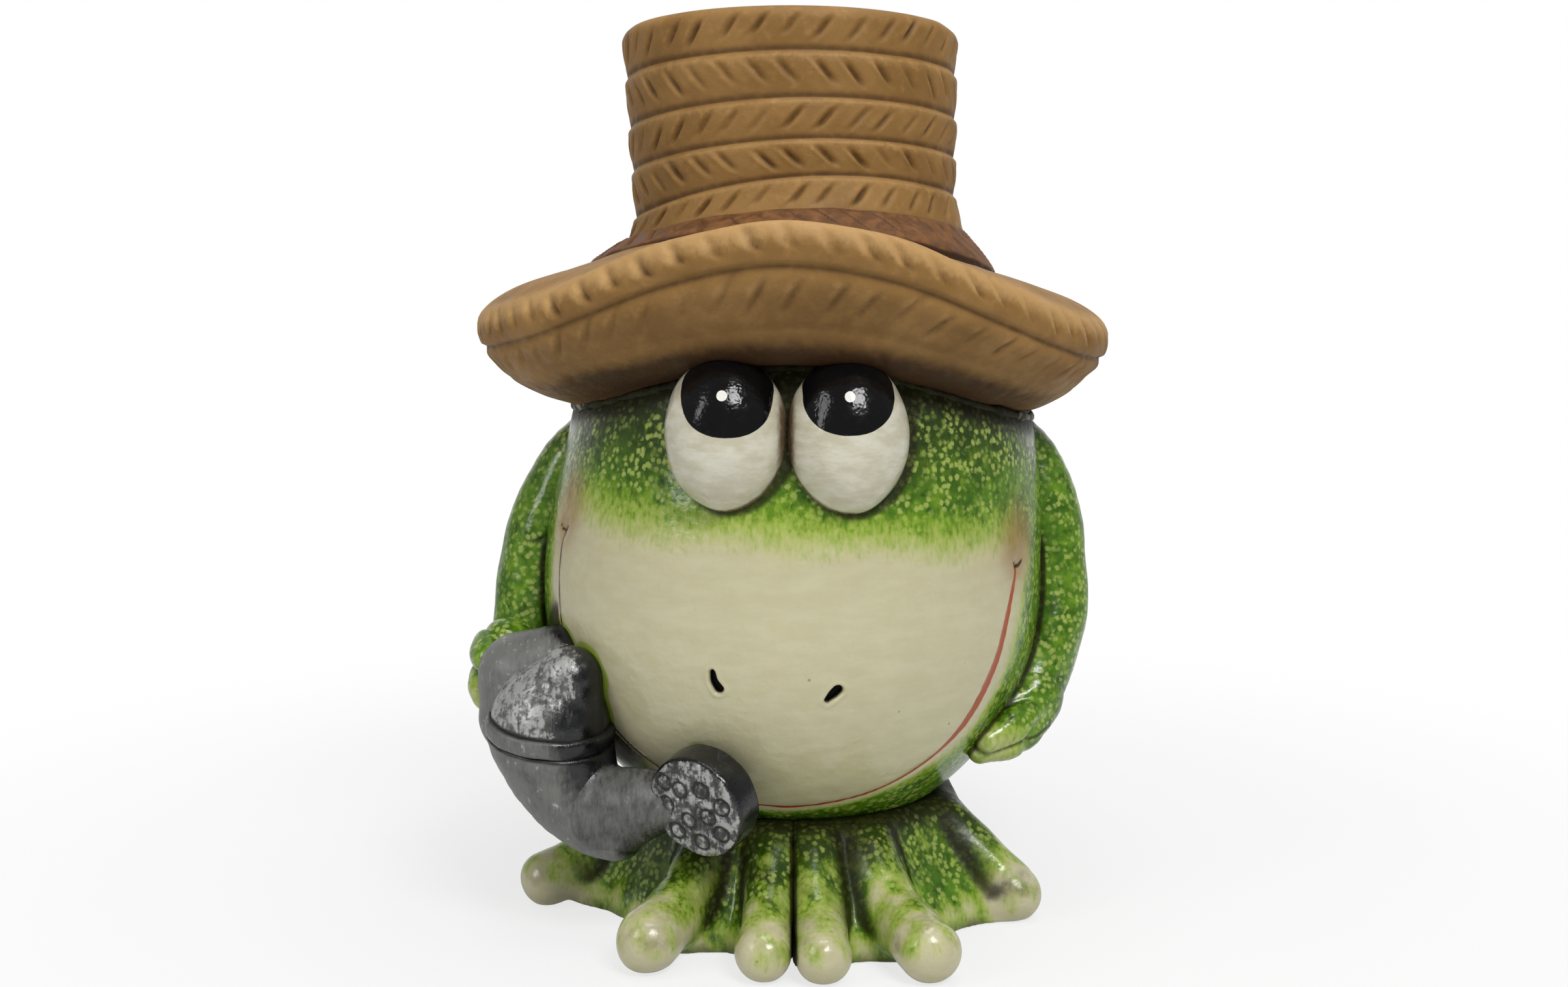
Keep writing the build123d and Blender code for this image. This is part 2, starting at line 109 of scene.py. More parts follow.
def heading_of(azimuth):
    """Level direction at an azimuth in radians."""
    return np.stack([np.sin(azimuth), -np.cos(azimuth), np.zeros_like(azimuth)], axis=-1)


def body_reach(rise):
    """Radius of the body at a height above the ball's centre."""
    rise = np.asarray(rise, float)
    lower = np.sqrt(np.maximum(BODY_RADIUS ** 2 - rise ** 2, 0))
    upper = np.sqrt(HEAD_ARC ** 2 - rise ** 2) - (HEAD_ARC - BODY_RADIUS)
    return np.where(rise <= 0, lower, upper)


def on_body(azimuth, rise, stand_off=0.0):
    """Point over the body, moved out along its normal; the azimuth is in degrees."""
    heading = heading_of(np.radians(np.asarray(azimuth, float)))
    rise = np.asarray(rise, float)
    stand_off = np.asarray(stand_off, float)
    reach = body_reach(rise)
    level = np.where(rise > 0, reach + HEAD_ARC - BODY_RADIUS, reach)
    length = np.hypot(level, rise)
    point = heading * (reach + stand_off * level / length)[..., None]
    point[..., 2] = BODY_CENTRE + rise + stand_off * rise / length
    return point


def body_field(points):
    """Distance to the body's outside, negative inside."""
    rise = points[..., 2] - BODY_CENTRE
    level = np.hypot(points[..., 0], points[..., 1])
    ball = np.hypot(level, rise) - BODY_RADIUS
    head = np.hypot(level + HEAD_ARC - BODY_RADIUS, rise) - HEAD_ARC
    return np.where(rise > 0, head, ball)


def leaned(points):
    """Points moved with the head, which leans a little to the right."""
    shift = HEAD_LEAN * smoothstep(BODY_CENTRE + 5, BODY_CENTRE + 60, points[..., 2])
    return points + shift[..., None] * np.array([1.0, 0, 0])


def cone_field(points, first, second):
    """Distance to a rounded cone between two stations of place and radius."""
    along = second[:3] - first[:3]
    share = np.clip((points - first[:3]) @ along / (along @ along), 0, 1)
    radius = first[3] + share * (second[3] - first[3])
    return np.linalg.norm(points - first[:3] - share[..., None] * along, axis=-1) - radius


def chain_field(points, line):
    """Distance to rounded cones that follow one another through stations."""
    return np.minimum.reduce([cone_field(points, *pair) for pair in zip(line, line[1:])])


def limb_field(points, path, steps=4):
    """Distance to a smooth tube through stations of place and radius."""
    return chain_field(points, smooth_curve(path, steps))


def largest(*layers):
    return np.maximum.reduce(np.broadcast_arrays(*layers))


def ring_points(columns, radius, height):
    """Points of rows round the upright axis, with a column at each azimuth in radians."""
    points = heading_of(columns)[None] * radius[..., None]
    points[..., 2] = height
    return points


# Meshes

def ring_faces(rows, columns):
    """Quads of a grid whose columns close into a ring; rows that go up face outwards."""
    index = np.arange(rows * columns).reshape(rows, columns)
    turned = np.roll(index, -1, axis=1)
    return np.stack([index[:-1], turned[:-1], turned[1:], index[1:]], axis=-1).reshape(-1, 4)


def surface_net(field, low, high, step):
    """Quads round the space where field is negative, on a grid of the given step."""
    axes = [np.arange(a - 2 * step, b + 3 * step, step) for a, b in zip(low, high)]
    grid = np.stack(np.meshgrid(*axes, indexing="ij"), axis=-1)
    value = field(grid)
    cells = np.array(value.shape) - 1
    total, count = np.zeros((*cells, 3)), np.zeros(cells)
    edges = []
    for axis in range(3):
        near = [slice(None)] * 3
        far = [slice(None)] * 3
        near[axis], far[axis] = slice(None, -1), slice(1, None)
        first, second = value[tuple(near)], value[tuple(far)]
        crossing = (first < 0) != (second < 0)
        spot = grid[tuple(near)].copy()
        spot[..., axis] += step * first / np.where(crossing, first - second, np.inf)
        spot *= crossing[..., None]
        across = [k for k in range(3) if k != axis]
        for shift in ((0, 0), (0, 1), (1, 0), (1, 1)):
            part = [slice(None)] * 3
            for k, d in zip(across, shift):
                part[k] = slice(d, cells[k] + d)
            total += spot[tuple(part)]
            count += crossing[tuple(part)]
        edges.append((axis, across, crossing, first < 0))
    used = count > 0
    number = np.full(cells, -1)
    number[used] = np.arange(used.sum())
    points = total[used] / count[used][:, None]
    faces = []
    for axis, across, crossing, inside in edges:
        corners = []
        for shift in ((1, 1), (0, 1), (0, 0), (1, 0)):
            part = [slice(None)] * 3
            for k, d in zip(across, shift):
                part[k] = slice(1 - d, cells[k] - d)
            corners.append(number[tuple(part)])
        inner = [slice(None)] * 3
        for k in across:
            inner[k] = slice(1, -1)
        keep = crossing[tuple(inner)]
        quads = np.stack(corners, axis=-1)[keep]
        flip = inside[tuple(inner)][keep] == (axis == 1)
        quads[flip] = quads[flip][:, ::-1]
        faces.append(quads)
    return points, np.vstack(faces)


def evened(points, faces):
    """Points moved half-way to the middle of their neighbours."""
    total, count = np.zeros_like(points), np.zeros(len(points))
    for k in range(4):
        a, b = faces[:, k], faces[:, (k + 1) % 4]
        for one, other in ((a, b), (b, a)):
            np.add.at(total, one, points[other])
            np.add.at(count, one, 1)
    return (points + total / np.maximum(count, 1)[:, None]) / 2


def slope_of(field, points, reach=0.05):
    """Direction in which a field grows at points."""
    value = field(points)
    return np.stack([field(points + reach * axis) - value for axis in np.eye(3)], axis=-1) / reach


def sculpt(field, low, high, step):
    """Even quad mesh that lies on the surface of a field."""
    points, faces = surface_net(field, np.asarray(low, float), np.asarray(high, float), step)
    for _ in range(3):
        points = evened(points, faces)
        slope = slope_of(field, points)
        pull = field(points) / np.maximum((slope ** 2).sum(axis=-1), 0.2)
        points = points - np.clip(pull, -step, step)[:, None] * slope
    return points, faces


def add_piece(name, points, faces, material, nodes, fields=()):
    """Mesh piece of the figure that stands for CAD nodes, with named values at its points."""
    mesh = bpy.data.meshes.new(name)
    mesh.from_pydata((points.reshape(-1, 3) * MM).tolist(), [], faces.tolist())
    for label, values in dict(fields).items():
        layer = mesh.attributes.new(label, "FLOAT", "POINT")
        layer.data.foreach_set("value", np.ascontiguousarray(values, dtype=np.float32).ravel())
    mesh.shade_smooth()
    mesh.materials.append(material)
    piece = bpy.data.objects.new(name, mesh)
    bpy.context.collection.objects.link(piece)
    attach(piece, "root")
    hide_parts(*nodes)
    return piece


# Materials

def linear(red, green, blue):
    """Colour written as 0 to 255 on a screen, as the renderer's light values."""
    share = np.array([red, green, blue]) / 255
    light = np.where(share <= 0.04045, share / 12.92, ((share + 0.055) / 1.055) ** 2.4)
    return (*light.tolist(), 1.0)


class Nodes:
    """Node tree under construction."""

    def __init__(self, tree):
        self.tree = tree

    def node(self, kind, inputs=(), **settings):
        made = self.tree.nodes.new(kind)
        for key, value in settings.items():
            setattr(made, key, value)
        for key, value in dict(inputs).items():
            self.put(made.inputs[key], value)
        return made

    def put(self, socket, value):
        if isinstance(value, bpy.types.NodeSocket):
            self.tree.links.new(value, socket)
        else:
            socket.default_value = value

    def math(self, operation, first, second=0.0):
        return self.node("ShaderNodeMath", {0: first, 1: second}, operation=operation).outputs[0]

    def between(self, value, low, high, start=0.0, end=1.0):
        """Smooth step of a value from start to end while it goes from low to high."""
        made = self.node("ShaderNodeMapRange", {"Value": value, "From Min": low, "From Max": high,
                                                "To Min": start, "To Max": end},
                         interpolation_type="SMOOTHSTEP")
        return made.outputs["Result"]


class Finish(Nodes):
    """Node material under construction."""

    def __init__(self, name):
        self.material = bpy.data.materials.new(name)
        self.material.use_nodes = True
        super().__init__(self.material.node_tree)
        self.shader = self.tree.nodes["Principled BSDF"]
        self.place = self.node("ShaderNodeTexCoord").outputs["Object"]

    def field(self, name):
        return self.node("ShaderNodeAttribute", attribute_name=name).outputs["Fac"]

    def varied(self, value, cloud, amount):
        """Value moved up and down by a cloudy value, by up to half the amount."""
        return self.math("ADD", value, self.math("MULTIPLY", self.math("SUBTRACT", cloud, 0.5), amount))

    def stretched(self, x, y, z):
        return self.node("ShaderNodeMapping", {"Vector": self.place, "Scale": (x, y, z)}).outputs[0]

    def noise(self, size, detail=3.0, roughness=0.55, place=None):
        """Cloudy value of about 0 to 1 with patches of the given size in millimetres."""
        made = self.node("ShaderNodeTexNoise", {"Vector": place or self.place, "Scale": 1 / (size * MM),
                                                "Detail": detail, "Roughness": roughness})
        return made.outputs["Fac"]

    def spots(self, size, randomness=1.0):
        """Distance to the nearest of scattered points that lie about size apart, as a share of size."""
        made = self.node("ShaderNodeTexVoronoi", {"Vector": self.place, "Scale": 1 / (size * MM),
                                                  "Randomness": randomness})
        return made.outputs["Distance"]

    def mix(self, factor, first, second):
        made = self.node("ShaderNodeMix", {"Factor": factor}, data_type="RGBA")
        self.put(made.inputs[6], linear(*first) if isinstance(first, tuple) else first)
        self.put(made.inputs[7], linear(*second) if isinstance(second, tuple) else second)
        return made.outputs[2]

    def bump(self, height, distance, normal=None):
        inputs = {"Height": height, "Distance": distance * MM, "Strength": 1.0}
        if normal is not None:
            inputs["Normal"] = normal
        return self.node("ShaderNodeBump", inputs).outputs["Normal"]

    def set(self, **inputs):
        for key, value in inputs.items():
            self.put(self.shader.inputs[key.replace("_", " ")], value)
        return self.material


def frog_glaze():
    """Glossy sponged green over cream, with painted shade in the creases, at the joints and under the brim.
    """
    f = Finish("frog_glaze")
    cloud = f.noise(14, 2)
    patch = f.noise(4.0, 3)
    grain = f.noise(1.1, 2)
    green = f.mix(f.between(cloud, 0.35, 0.65), (58, 98, 8), (84, 126, 20))
    green = f.mix(f.between(patch, 0.48, 0.72, 0, 0.6), green, (118, 154, 34))
    green = f.mix(f.between(patch, 0.46, 0.28, 0, 0.75), green, (36, 62, 4))
    green = f.mix(f.math("MULTIPLY", f.field("shade"), 0.9), green, (32, 46, 8))
    speck = f.between(f.varied(f.spots(2.3), grain, 0.7), 0.56, 0.24)
    speck = f.math("MULTIPLY", speck, f.between(f.noise(9, 2), 0.34, 0.58, 0.25, 0.85))
    green = f.mix(speck, green, (160, 177, 88))

    streak = f.noise(1.5, 3, 0.6, f.stretched(1, 1, 0.4))
    cream_field = f.field("cream")
    drip = f.varied(f.varied(cream_field, streak, 0.9), patch, 0.45)
    green = f.mix(f.between(drip, 0.02, 0.5, 0, 0.75), green, (134, 166, 40))
    cream_share = f.between(drip, 0.2, 0.9)
    smear = f.noise(6, 3, 0.6, f.stretched(0.5, 0.5, 1.5))
    cream = f.mix(f.between(smear, 0.3, 0.75), (187, 181, 146), (194, 189, 156))
    cream = f.mix(f.between(cloud, 0.55, 0.75, 0, 0.25), cream, (188, 175, 128))
    cream = f.mix(f.between(cream_field, 1.0, 0.4, 0, 0.7), cream, (176, 184, 84))
    fleck = f.between(f.spots(15), 0.045, 0.02)
    cream = f.mix(f.math("MULTIPLY", fleck, 0.6), cream, (110, 98, 62))
    colour = f.mix(cream_share, green, cream)
    colour = f.mix(f.between(f.field("blush"), 0.05, 1.0, 0, 0.7), colour, (138, 92, 26))
    colour = f.mix(f.between(f.field("outline"), 0.35, 0.8, 0, 0.9), colour, (146, 168, 48))

    line_gap = f.math("ABSOLUTE", f.math("SUBTRACT", f.field("mouth"), 0.5))
    line_gap = f.varied(line_gap, f.noise(5, 2), 0.06)
    line_paint = f.mix(f.field("old_line"), (156, 62, 0), (84, 52, 22))
    line_share = f.math("MULTIPLY", f.between(line_gap, 0.12, 0.08), f.field("mouth_end"))
    colour = f.mix(f.math("MULTIPLY", line_share, 0.97), colour, line_paint)
    # Painted shade: near-black in creases, at joints and under the brim, with some real dirt on the feet.
    shade_and_dirt = f.varied(f.field("shade_and_dirt"), patch, 0.5)
    shade_and_dirt = f.between(shade_and_dirt, 0.25, 0.85)
    colour = f.mix(f.math("MULTIPLY", shade_and_dirt, 0.9), colour, (26, 21, 8))
    colour = f.mix(f.between(f.field("pit"), 0.3, 0.7), colour, (5, 5, 5))
    normal = f.bump(grain, 0.05)
    normal = f.bump(f.noise(6, 2), 0.35, normal)
    shade_and_dirt_rough = f.between(f.field("shade_and_dirt"), 0.3, 1.0, 0, 0.35)
    roughness = f.math("ADD", f.between(grain, 0.3, 0.7, 0.13, 0.24), shade_and_dirt_rough)
    return f.set(Base_Color=colour, Roughness=roughness, Normal=normal,
                 Specular_IOR_Level=f.between(f.field("shade_and_dirt"), 0.3, 1.0, 0.5, 0.1))


def eye_glaze():
    """Glossy off-white with a painted pupil and brown painted shade at the edges."""
    f = Finish("eye_glaze")
    smear = f.noise(5, 3, 0.6, f.stretched(0.5, 0.5, 1.4))
    white = f.mix(f.between(smear, 0.35, 0.7), (188, 182, 158), (206, 203, 186))
    # Brown painted shade at the edges.
    shade_and_dirt = f.varied(f.field("shade_and_dirt"), f.noise(2.5), 0.6)
    colour = f.mix(f.between(shade_and_dirt, 0.25, 1.0, 0, 0.9), white, (92, 66, 34))
    edge = f.varied(f.field("pupil"), f.noise(4, 2), 0.06)
    colour = f.mix(f.between(edge, 0.485, 0.515), colour, (10, 10, 11))
    colour = f.mix(f.between(f.field("glint"), 0.48, 0.52), colour, (232, 230, 222))
    normal = f.bump(f.noise(3.2, 2), 0.22, f.bump(f.noise(0.8, 2), 0.03))
    return f.set(Base_Color=colour, Roughness=f.between(f.noise(2), 0.3, 0.7, 0.08, 0.18), Normal=normal,
                 Specular_IOR_Level=f.between(edge, 0.485, 0.515, 0.5, 0.3))


def straw_paint():
    """Matte tan paint over pressed straw plait, with painted shade in the hollows and painted highlight on
    the ridges.
    """
    f = Finish("straw_paint")
    cloud = f.noise(22, 3)
    patch = f.noise(4, 4)
    tan = f.mix(f.between(cloud, 0.35, 0.65), (128, 94, 47), (142, 107, 58))
    tan = f.mix(f.between(patch, 0.5, 0.75, 0, 0.4), tan, (164, 126, 76))
    # Painted shade in the grooves, strokes and row feet.
    hollow = f.varied(f.field("hollow"), patch, 0.6)
    tan = f.mix(f.between(hollow, 0.12, 0.95, 0, 0.9), tan, (76, 50, 20))
    # Painted highlight on the lips and edges.
    ridge = f.varied(f.field("ridge"), f.noise(2), 0.6)
    tan = f.mix(f.between(ridge, 0.2, 1.0, 0, 0.6), tan, (188, 150, 98))
    # Darker under the brim towards the seam with the head.
    dark_near_seam = f.varied(f.field("dark_near_seam"), patch, 0.5)
    tan = f.mix(f.between(dark_near_seam, 0.1, 1.1, 0, 0.95), tan, (54, 33, 12))
    normal = f.bump(f.noise(1.1, 4, 0.65), 0.14, f.bump(f.noise(7, 3), 0.4))
    return f.set(Base_Color=tan, Roughness=f.between(patch, 0.3, 0.7, 0.5, 0.7), Normal=normal,
                 Specular_IOR_Level=0.25)


def band_paint():
    """Dark brown paint on the plaited band, with darker slanted strokes."""
    f = Finish("band_paint")
    patch = f.noise(4, 4)
    brown = f.mix(f.between(patch, 0.35, 0.7), (86, 54, 26), (118, 78, 42))
    # Darker painted strokes, and painted shade along the band's lower and upper edges.
    hollow = f.varied(f.field("hollow"), patch, 0.4)
    brown = f.mix(f.between(hollow, 0.25, 0.9, 0, 0.9), brown, (50, 30, 16))
    normal = f.bump(f.noise(1.2, 4, 0.65), 0.18)
    return f.set(Base_Color=brown, Roughness=f.between(patch, 0.3, 0.7, 0.5, 0.7), Normal=normal,
                 Specular_IOR_Level=0.25)


def bedding():
    """Pale bedding clay, wiped along the seam, painted dark as shade under the brim except at the temples.
    """
    f = Finish("bedding")
    patch = f.noise(3, 4)
    # Dark as painted shade under the brim; the pale clay shows at the temples.
    grey = f.mix(f.between(patch, 0.35, 0.7), (28, 30, 14), (50, 48, 28))
    pale = f.varied(f.field("pale"), patch, 0.8)
    grey = f.mix(f.between(pale, 0.4, 0.8), grey, (186, 184, 170))
    normal = f.bump(f.noise(1.2, 4, 0.65), 0.3)
    return f.set(Base_Color=grey, Roughness=f.between(patch, 0.3, 0.7, 0.5, 0.7), Normal=normal,
                 Specular_IOR_Level=0.1)


def can_paint():
    """Black glaze with graphite wiped over it and silver rubbed on the high places, the silver partly a
    painted highlight; painted shade darkens the grooves, the places near the ball and the sides that face
    right.
    """
    f = Finish("can_paint")
    patch = f.noise(9, 4, 0.65)
    mottle = f.noise(3.6, 5, 0.7)
    grain = f.noise(0.8, 3, 0.65)
    brush = f.noise(1.2, 4, 0.65, f.stretched(1.0, 0.3, 0.3))
    black = f.mix(f.between(patch, 0.35, 0.7), (11, 12, 14), (24, 25, 28))
    rub = f.varied(f.field("rub"), patch, 0.6)
    rub = f.varied(rub, brush, 0.7)
    colour = f.mix(f.between(rub, 0.05, 0.85, 0, 0.9), black, (112, 112, 109))
    # Silver paint, partly a painted highlight.
    silver = f.varied(f.field("silver"), mottle, 2.2)
    silver = f.varied(silver, brush, 0.8)
    wear_and_highlight = f.between(silver, 0.4, 0.75)
    colour = f.mix(f.math("MULTIPLY", wear_and_highlight, 0.9), colour, (176, 177, 174))
    chip = f.between(silver, 0.3, 0.05, 0, 0.85)
    chip = f.math("MULTIPLY", chip, f.between(f.field("silver"), 0.3, 0.55))
    colour = f.mix(chip, colour, (11, 12, 13))
    # Painted shade in the grooves, in the ring marks and where the can meets the ball.
    colour = f.mix(f.between(f.field("shade_and_dirt"), 0.2, 0.9, 0, 0.95), colour, (9, 9, 10))
    normal = f.bump(grain, 0.08, f.bump(patch, 0.35))
    return f.set(Base_Color=colour, Roughness=f.between(rub, 0.0, 0.6, 0.16, 0.4),
                 Metallic=f.math("MULTIPLY", wear_and_highlight, 0.45), Normal=normal)


# Ball body with the face

MOUTH_LINE = (               # azimuth and height of the painted mouth, from the right corner to the left
    (57.5, 124.0), (55.0, 115.0), (52.5, 105.0), (49.0, 88.0), (44.3, 73.0), (36.2, 60.5), (23.4, 51.0),
    (6.4, 46.4), (-7.7, 46.0), (-26.0, 50.0), (-41.0, 60.0), (-52.0, 74.0), (-60.5, 96.0), (-63.2, 120.0),
    (-63.1, 135.0),
)
NOSTRILS = (                 # azimuth, height and half-width along each slot
    ((-17.0, 95.4, 0.9), (-16.8, 92.6, 1.3), (-15.9, 90.2, 1.6)),
    ((9.2, 90.2, 1.6), (8.3, 88.8, 1.5), (7.1, 86.8, 0.9)),
)
NOSTRIL_DEPTH = 2.6
CREAM_TOP = 139.5            # height at which the face turns from cream to green, at the front
CREAM_SLOPE = 0.09           # how much lower that is for each degree to the right
CREAM_FADE = 12.0
LINE_HALF_WIDTH = 0.6        # of the mouth line, which is bolder on the right
LINE_BOLD = 1.4


def face_line(stations):
    stations = np.asarray(stations, float)
    return on_body(stations[:, 0], stations[:, 1] - BODY_CENTRE)


def inside_mouth(points):
    """Signed distance to the mouth line, positive on the face side."""
    stations = smooth_curve(MOUTH_LINE, 6)
    line = face_line(stations)
    distance = chain_field(points, np.column_stack([line, np.zeros(len(line))]))
    azimuth = np.degrees(np.arctan2(points[..., 0], -points[..., 1]))
    middle = np.argmin(stations[:, 1])
    right, left = stations[:middle + 1][::-1], stations[middle:]
    height = points[..., 2]
    right_edge = np.interp(height, right[:, 1], right[:, 0])
    left_edge = np.interp(height, left[:, 1], left[:, 0])
    inside = (azimuth < right_edge) & (azimuth > left_edge) & (height > stations[middle, 1])
    return np.where(inside, distance, -distance)


def make_body(glaze):
    columns = np.radians(uneven_spread(-180, 180, 430, ((-16.4, 4, 5), (7.9, 4, 5), (0, 70, 1.6)))[:-1])
    low_rows = uneven_spread(-BODY_RADIUS + 1, 0, 100, ((-18.5, 6, 2.5),))
    high_rows = np.linspace(0, HEAD_TOP, 92)[1:]
    rise = np.concatenate([low_rows, high_rows])[:, None]
    points = on_body(np.degrees(columns)[None, :] + 0 * rise, rise + 0 * columns[None, :])
    lid = points[-1:] * np.array([[0.05, 0.05, 1.0]])
    points = np.concatenate([points, lid])
    outward = points - np.array([0, 0, BODY_CENTRE])
    outward /= np.linalg.norm(outward, axis=-1, keepdims=True)

    height = points[..., 2]
    signed = inside_mouth(points)
    azimuth = np.degrees(columns)[None, :] + 0 * height
    bold = LINE_HALF_WIDTH + LINE_BOLD * bump_at(azimuth, 48, 7) * smoothstep(50, 75, height)
    mouth = np.clip(0.5 + 0.1 * signed / bold, 0, 1)
    old_line = smoothstep(-20, -50, azimuth)
    mouth_end = smoothstep(MOUTH_LINE[-1][1] + 1, MOUTH_LINE[-1][1] - 1, height + 11 * (azimuth > 0))
    wobble = 1.8 * ripple(points, 30, 3)
    cream_top = CREAM_TOP - CREAM_SLOPE * np.clip(azimuth, -60, 60)
    cream_height = np.clip((cream_top + CREAM_FADE - height - wobble) / (2 * CREAM_FADE), 0, 1)
    fade = 6 + 10 * smoothstep(25, 55, np.abs(azimuth))
    cream = np.minimum(cream_height, smoothstep(-1, -0.1, (signed + 0.5 * wobble) / fade))
    blush = np.zeros_like(height)
    dimple = np.zeros_like(height)
    corner_wash = np.zeros_like(height)
    for corner in (MOUTH_LINE[0], MOUTH_LINE[-1]):
        spot = face_line([corner])[0]
        offset = points - (spot + np.array([0, 0, 7.0]))
        blush += np.exp(-(np.hypot(offset[..., 0], offset[..., 1]) / 13) ** 2 - (offset[..., 2] / 15) ** 2)
        dimple += np.exp(-(np.linalg.norm(points - spot, axis=-1) / 2.6) ** 2)
        curl = np.linalg.norm(points - spot - np.array([0, 0, 2.8]), axis=-1)
        below = smoothstep(3.0, 0.8, height - spot[2])
        corner_wash = np.maximum(corner_wash, bump_at(curl, 3.3, 0.9) * below)
    slot = np.full(height.shape, np.inf)
    for stations in NOSTRILS:
        path = smooth_curve(stations, 4)
        slot = np.minimum(slot, chain_field(points, np.column_stack([face_line(path), path[:, 2]])))
    pit = smoothstep(0.5, -0.6, slot)
    lip = bump_at(slot, 0.9, 0.7)
    depth = 0.25 * ripple(points, 45, 1) - NOSTRIL_DEPTH * pit + 0.25 * lip
    depth -= 0.45 * bump_at(signed, 0, 0.9) + 0.8 * dimple
    # Painted shade: darker low on the ball, under the brim, round the eyes and beside the can; the nostril
    # slots and the curls at the mouth's corners are dark too.
    under = smoothstep(20, 4, height - BODY_CENTRE + BODY_RADIUS)
    shade = smoothstep(146, 172, height + 2 * wobble)
    can_shade = 0.95 * smoothstep(14.0, 3.0, can_gap(points)) * smoothstep(0.0, -2.0, signed)
    shade_and_dirt = largest(1.4 * pit, smoothstep(15, 0, bead_height(points)), 0.7 * under, eye_crease(points),
                   corner_wash, can_shade)
    outline = can_outline(points)
    points = leaned(points + outward * depth[..., None])
    fields = {"cream": cream, "mouth": mouth, "mouth_end": mouth_end, "old_line": old_line, "blush": blush,
              "shade_and_dirt": shade_and_dirt, "shade": shade, "outline": outline, "pit": pit}
    add_piece("ball_body", points, ring_faces(*points.shape[:2]), glaze, ["body_shell"], fields)


# Eyes

EYE_HALF_WIDTH = 19.0
EYE_HALF_HEIGHT = 24.5
EYE_CENTRES = {"left_eye": (-20.9, -78.5, 169.6), "right_eye": (16.6, -79.5, 168.8)}
PUPIL_SIZE = (14.0, 12.6)    # half-width and half-height
PUPIL_PLACE = {"left_eye": (0.7, 12.5), "right_eye": (-0.1, 14.1)}
GLINTS = {"left_eye": (-0.7, 12.4), "right_eye": (0.1, 13.0)}
GLINT_RADIUS = 1.6


def eye_crease(points):
    """Painted shade on the head round the foot of the eyes and above them."""
    crease = np.zeros(points.shape[:-1])
    for centre in EYE_CENTRES.values():
        offset = (points - np.array(centre)) / np.array([EYE_HALF_WIDTH, EYE_HALF_WIDTH, EYE_HALF_HEIGHT])
        gap = (np.linalg.norm(offset, axis=-1) - 1) * EYE_HALF_WIDTH
        above = 1.2 * smoothstep(9, 2, gap) * smoothstep(168, 178, points[..., 2])
        crease = largest(crease, smoothstep(3.0, 0.2, gap), above)
    return 0.75 * crease


def make_eye(name, glaze):
    """Upright egg with a pupil that looks up under the brim."""
    centre = np.array(EYE_CENTRES[name])
    columns = np.linspace(-np.pi, np.pi, 160, endpoint=False)
    rows = np.linspace(-np.pi / 2 + 0.02, np.pi / 2 - 0.02, 110)[:, None]
    unit = np.stack([np.cos(rows) * np.sin(columns), -np.cos(rows) * np.cos(columns),
                     np.sin(rows) + 0 * columns], axis=-1)
    size = np.array([EYE_HALF_WIDTH, EYE_HALF_WIDTH, EYE_HALF_HEIGHT])
    offset = unit * size
    front = smoothstep(6, -4, offset[..., 1])
    side = np.abs(offset[..., 0] - PUPIL_PLACE[name][0]) / PUPIL_SIZE[0]
    rise = np.abs(offset[..., 2] - PUPIL_PLACE[name][1]) / PUPIL_SIZE[1]
    radius = (side ** 2.3 + rise ** 2.3) ** (1 / 2.3)
    pupil = np.clip(0.5 + (1 - radius) * 2.2, 0, 1) * front
    spot = np.hypot(offset[..., 0] - GLINTS[name][0], offset[..., 2] - GLINTS[name][1])
    glint = np.clip(0.5 + (GLINT_RADIUS - spot) / 4, 0, 1) * front
    points = centre + offset
    points = points + unit * (0.25 * ripple(points, 14, 5))[..., None]
    other = np.array(EYE_CENTRES["right_eye" if name == "left_eye" else "left_eye"])
    gap = np.linalg.norm((points - other) / size, axis=-1) - 1
    foot = body_field(points)
    # Painted shade where the eyes meet each other, the head and the brim.
    shade_and_dirt = largest(1.2 * smoothstep(0.42, 0.0, gap), smoothstep(4.5, 0.3, foot),
                   0.5 * smoothstep(12, 3, bead_height(points)))
    fields = {"pupil": pupil, "glint": glint, "shade_and_dirt": shade_and_dirt}
    add_piece(name + "_ball", points, ring_faces(*points.shape[:2]), glaze, [name], fields)


# Straw hat

BRIM_SIDE = (                # section at the temples, from inside the head round the edge to the crown
    (70.0, 170.5), (78.5, 173.6), (88.0, 176.8), (98.5, 183.0), (107.2, 192.8), (109.3, 199.5),
    (106.9, 206.0), (97.0, 212.6), (82.0, 218.0), (69.5, 221.0), (58.0, 228.0),
)
BRIM_FRONT = (               # the same stations at the front
    (66.0, 188.0), (75.0, 190.3), (86.5, 191.8), (96.5, 202.0), (106.8, 219.4), (109.3, 226.5),
    (106.9, 233.0), (97.0, 230.8), (80.0, 230.0), (69.5, 232.0), (58.0, 237.0),
)
BRIM_PEAK = (3.0, 3.0, 3.0, 3.4, 4.0, 4.2, 4.2, 3.6, 2.8, 2.0, 2.0)   # how sharply each one's lift gathers
BRIM_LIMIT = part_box("hat_brim")[1].x / MM - 0.05
BACK_SHARE = 0.55
BRIM_TILT = 2.0              # the left end stands this much higher than the middle
UNDER_GROOVE = 3.0           # stations of the faint groove below, of the deep one and of the top edge
EDGE_GROOVE = 4.0
TOP_EDGE = 6.1
STEPS_PER_STATION = 12
LOW_GROOVE = 1.9             # station at which the lowest strokes start
EDGE_STROKES = (60, -0.75, 0.10, 0.94, 1.5, 11.2, 11)   # count, slant, ends, width, pitch and seed
UNDER_STROKES = (56, 1.0, 0.15, 0.95, 1.35, 11.4, 12)
LOW_STROKES = (44, -0.5, 0.25, 0.8, 1.1, 12, 13)

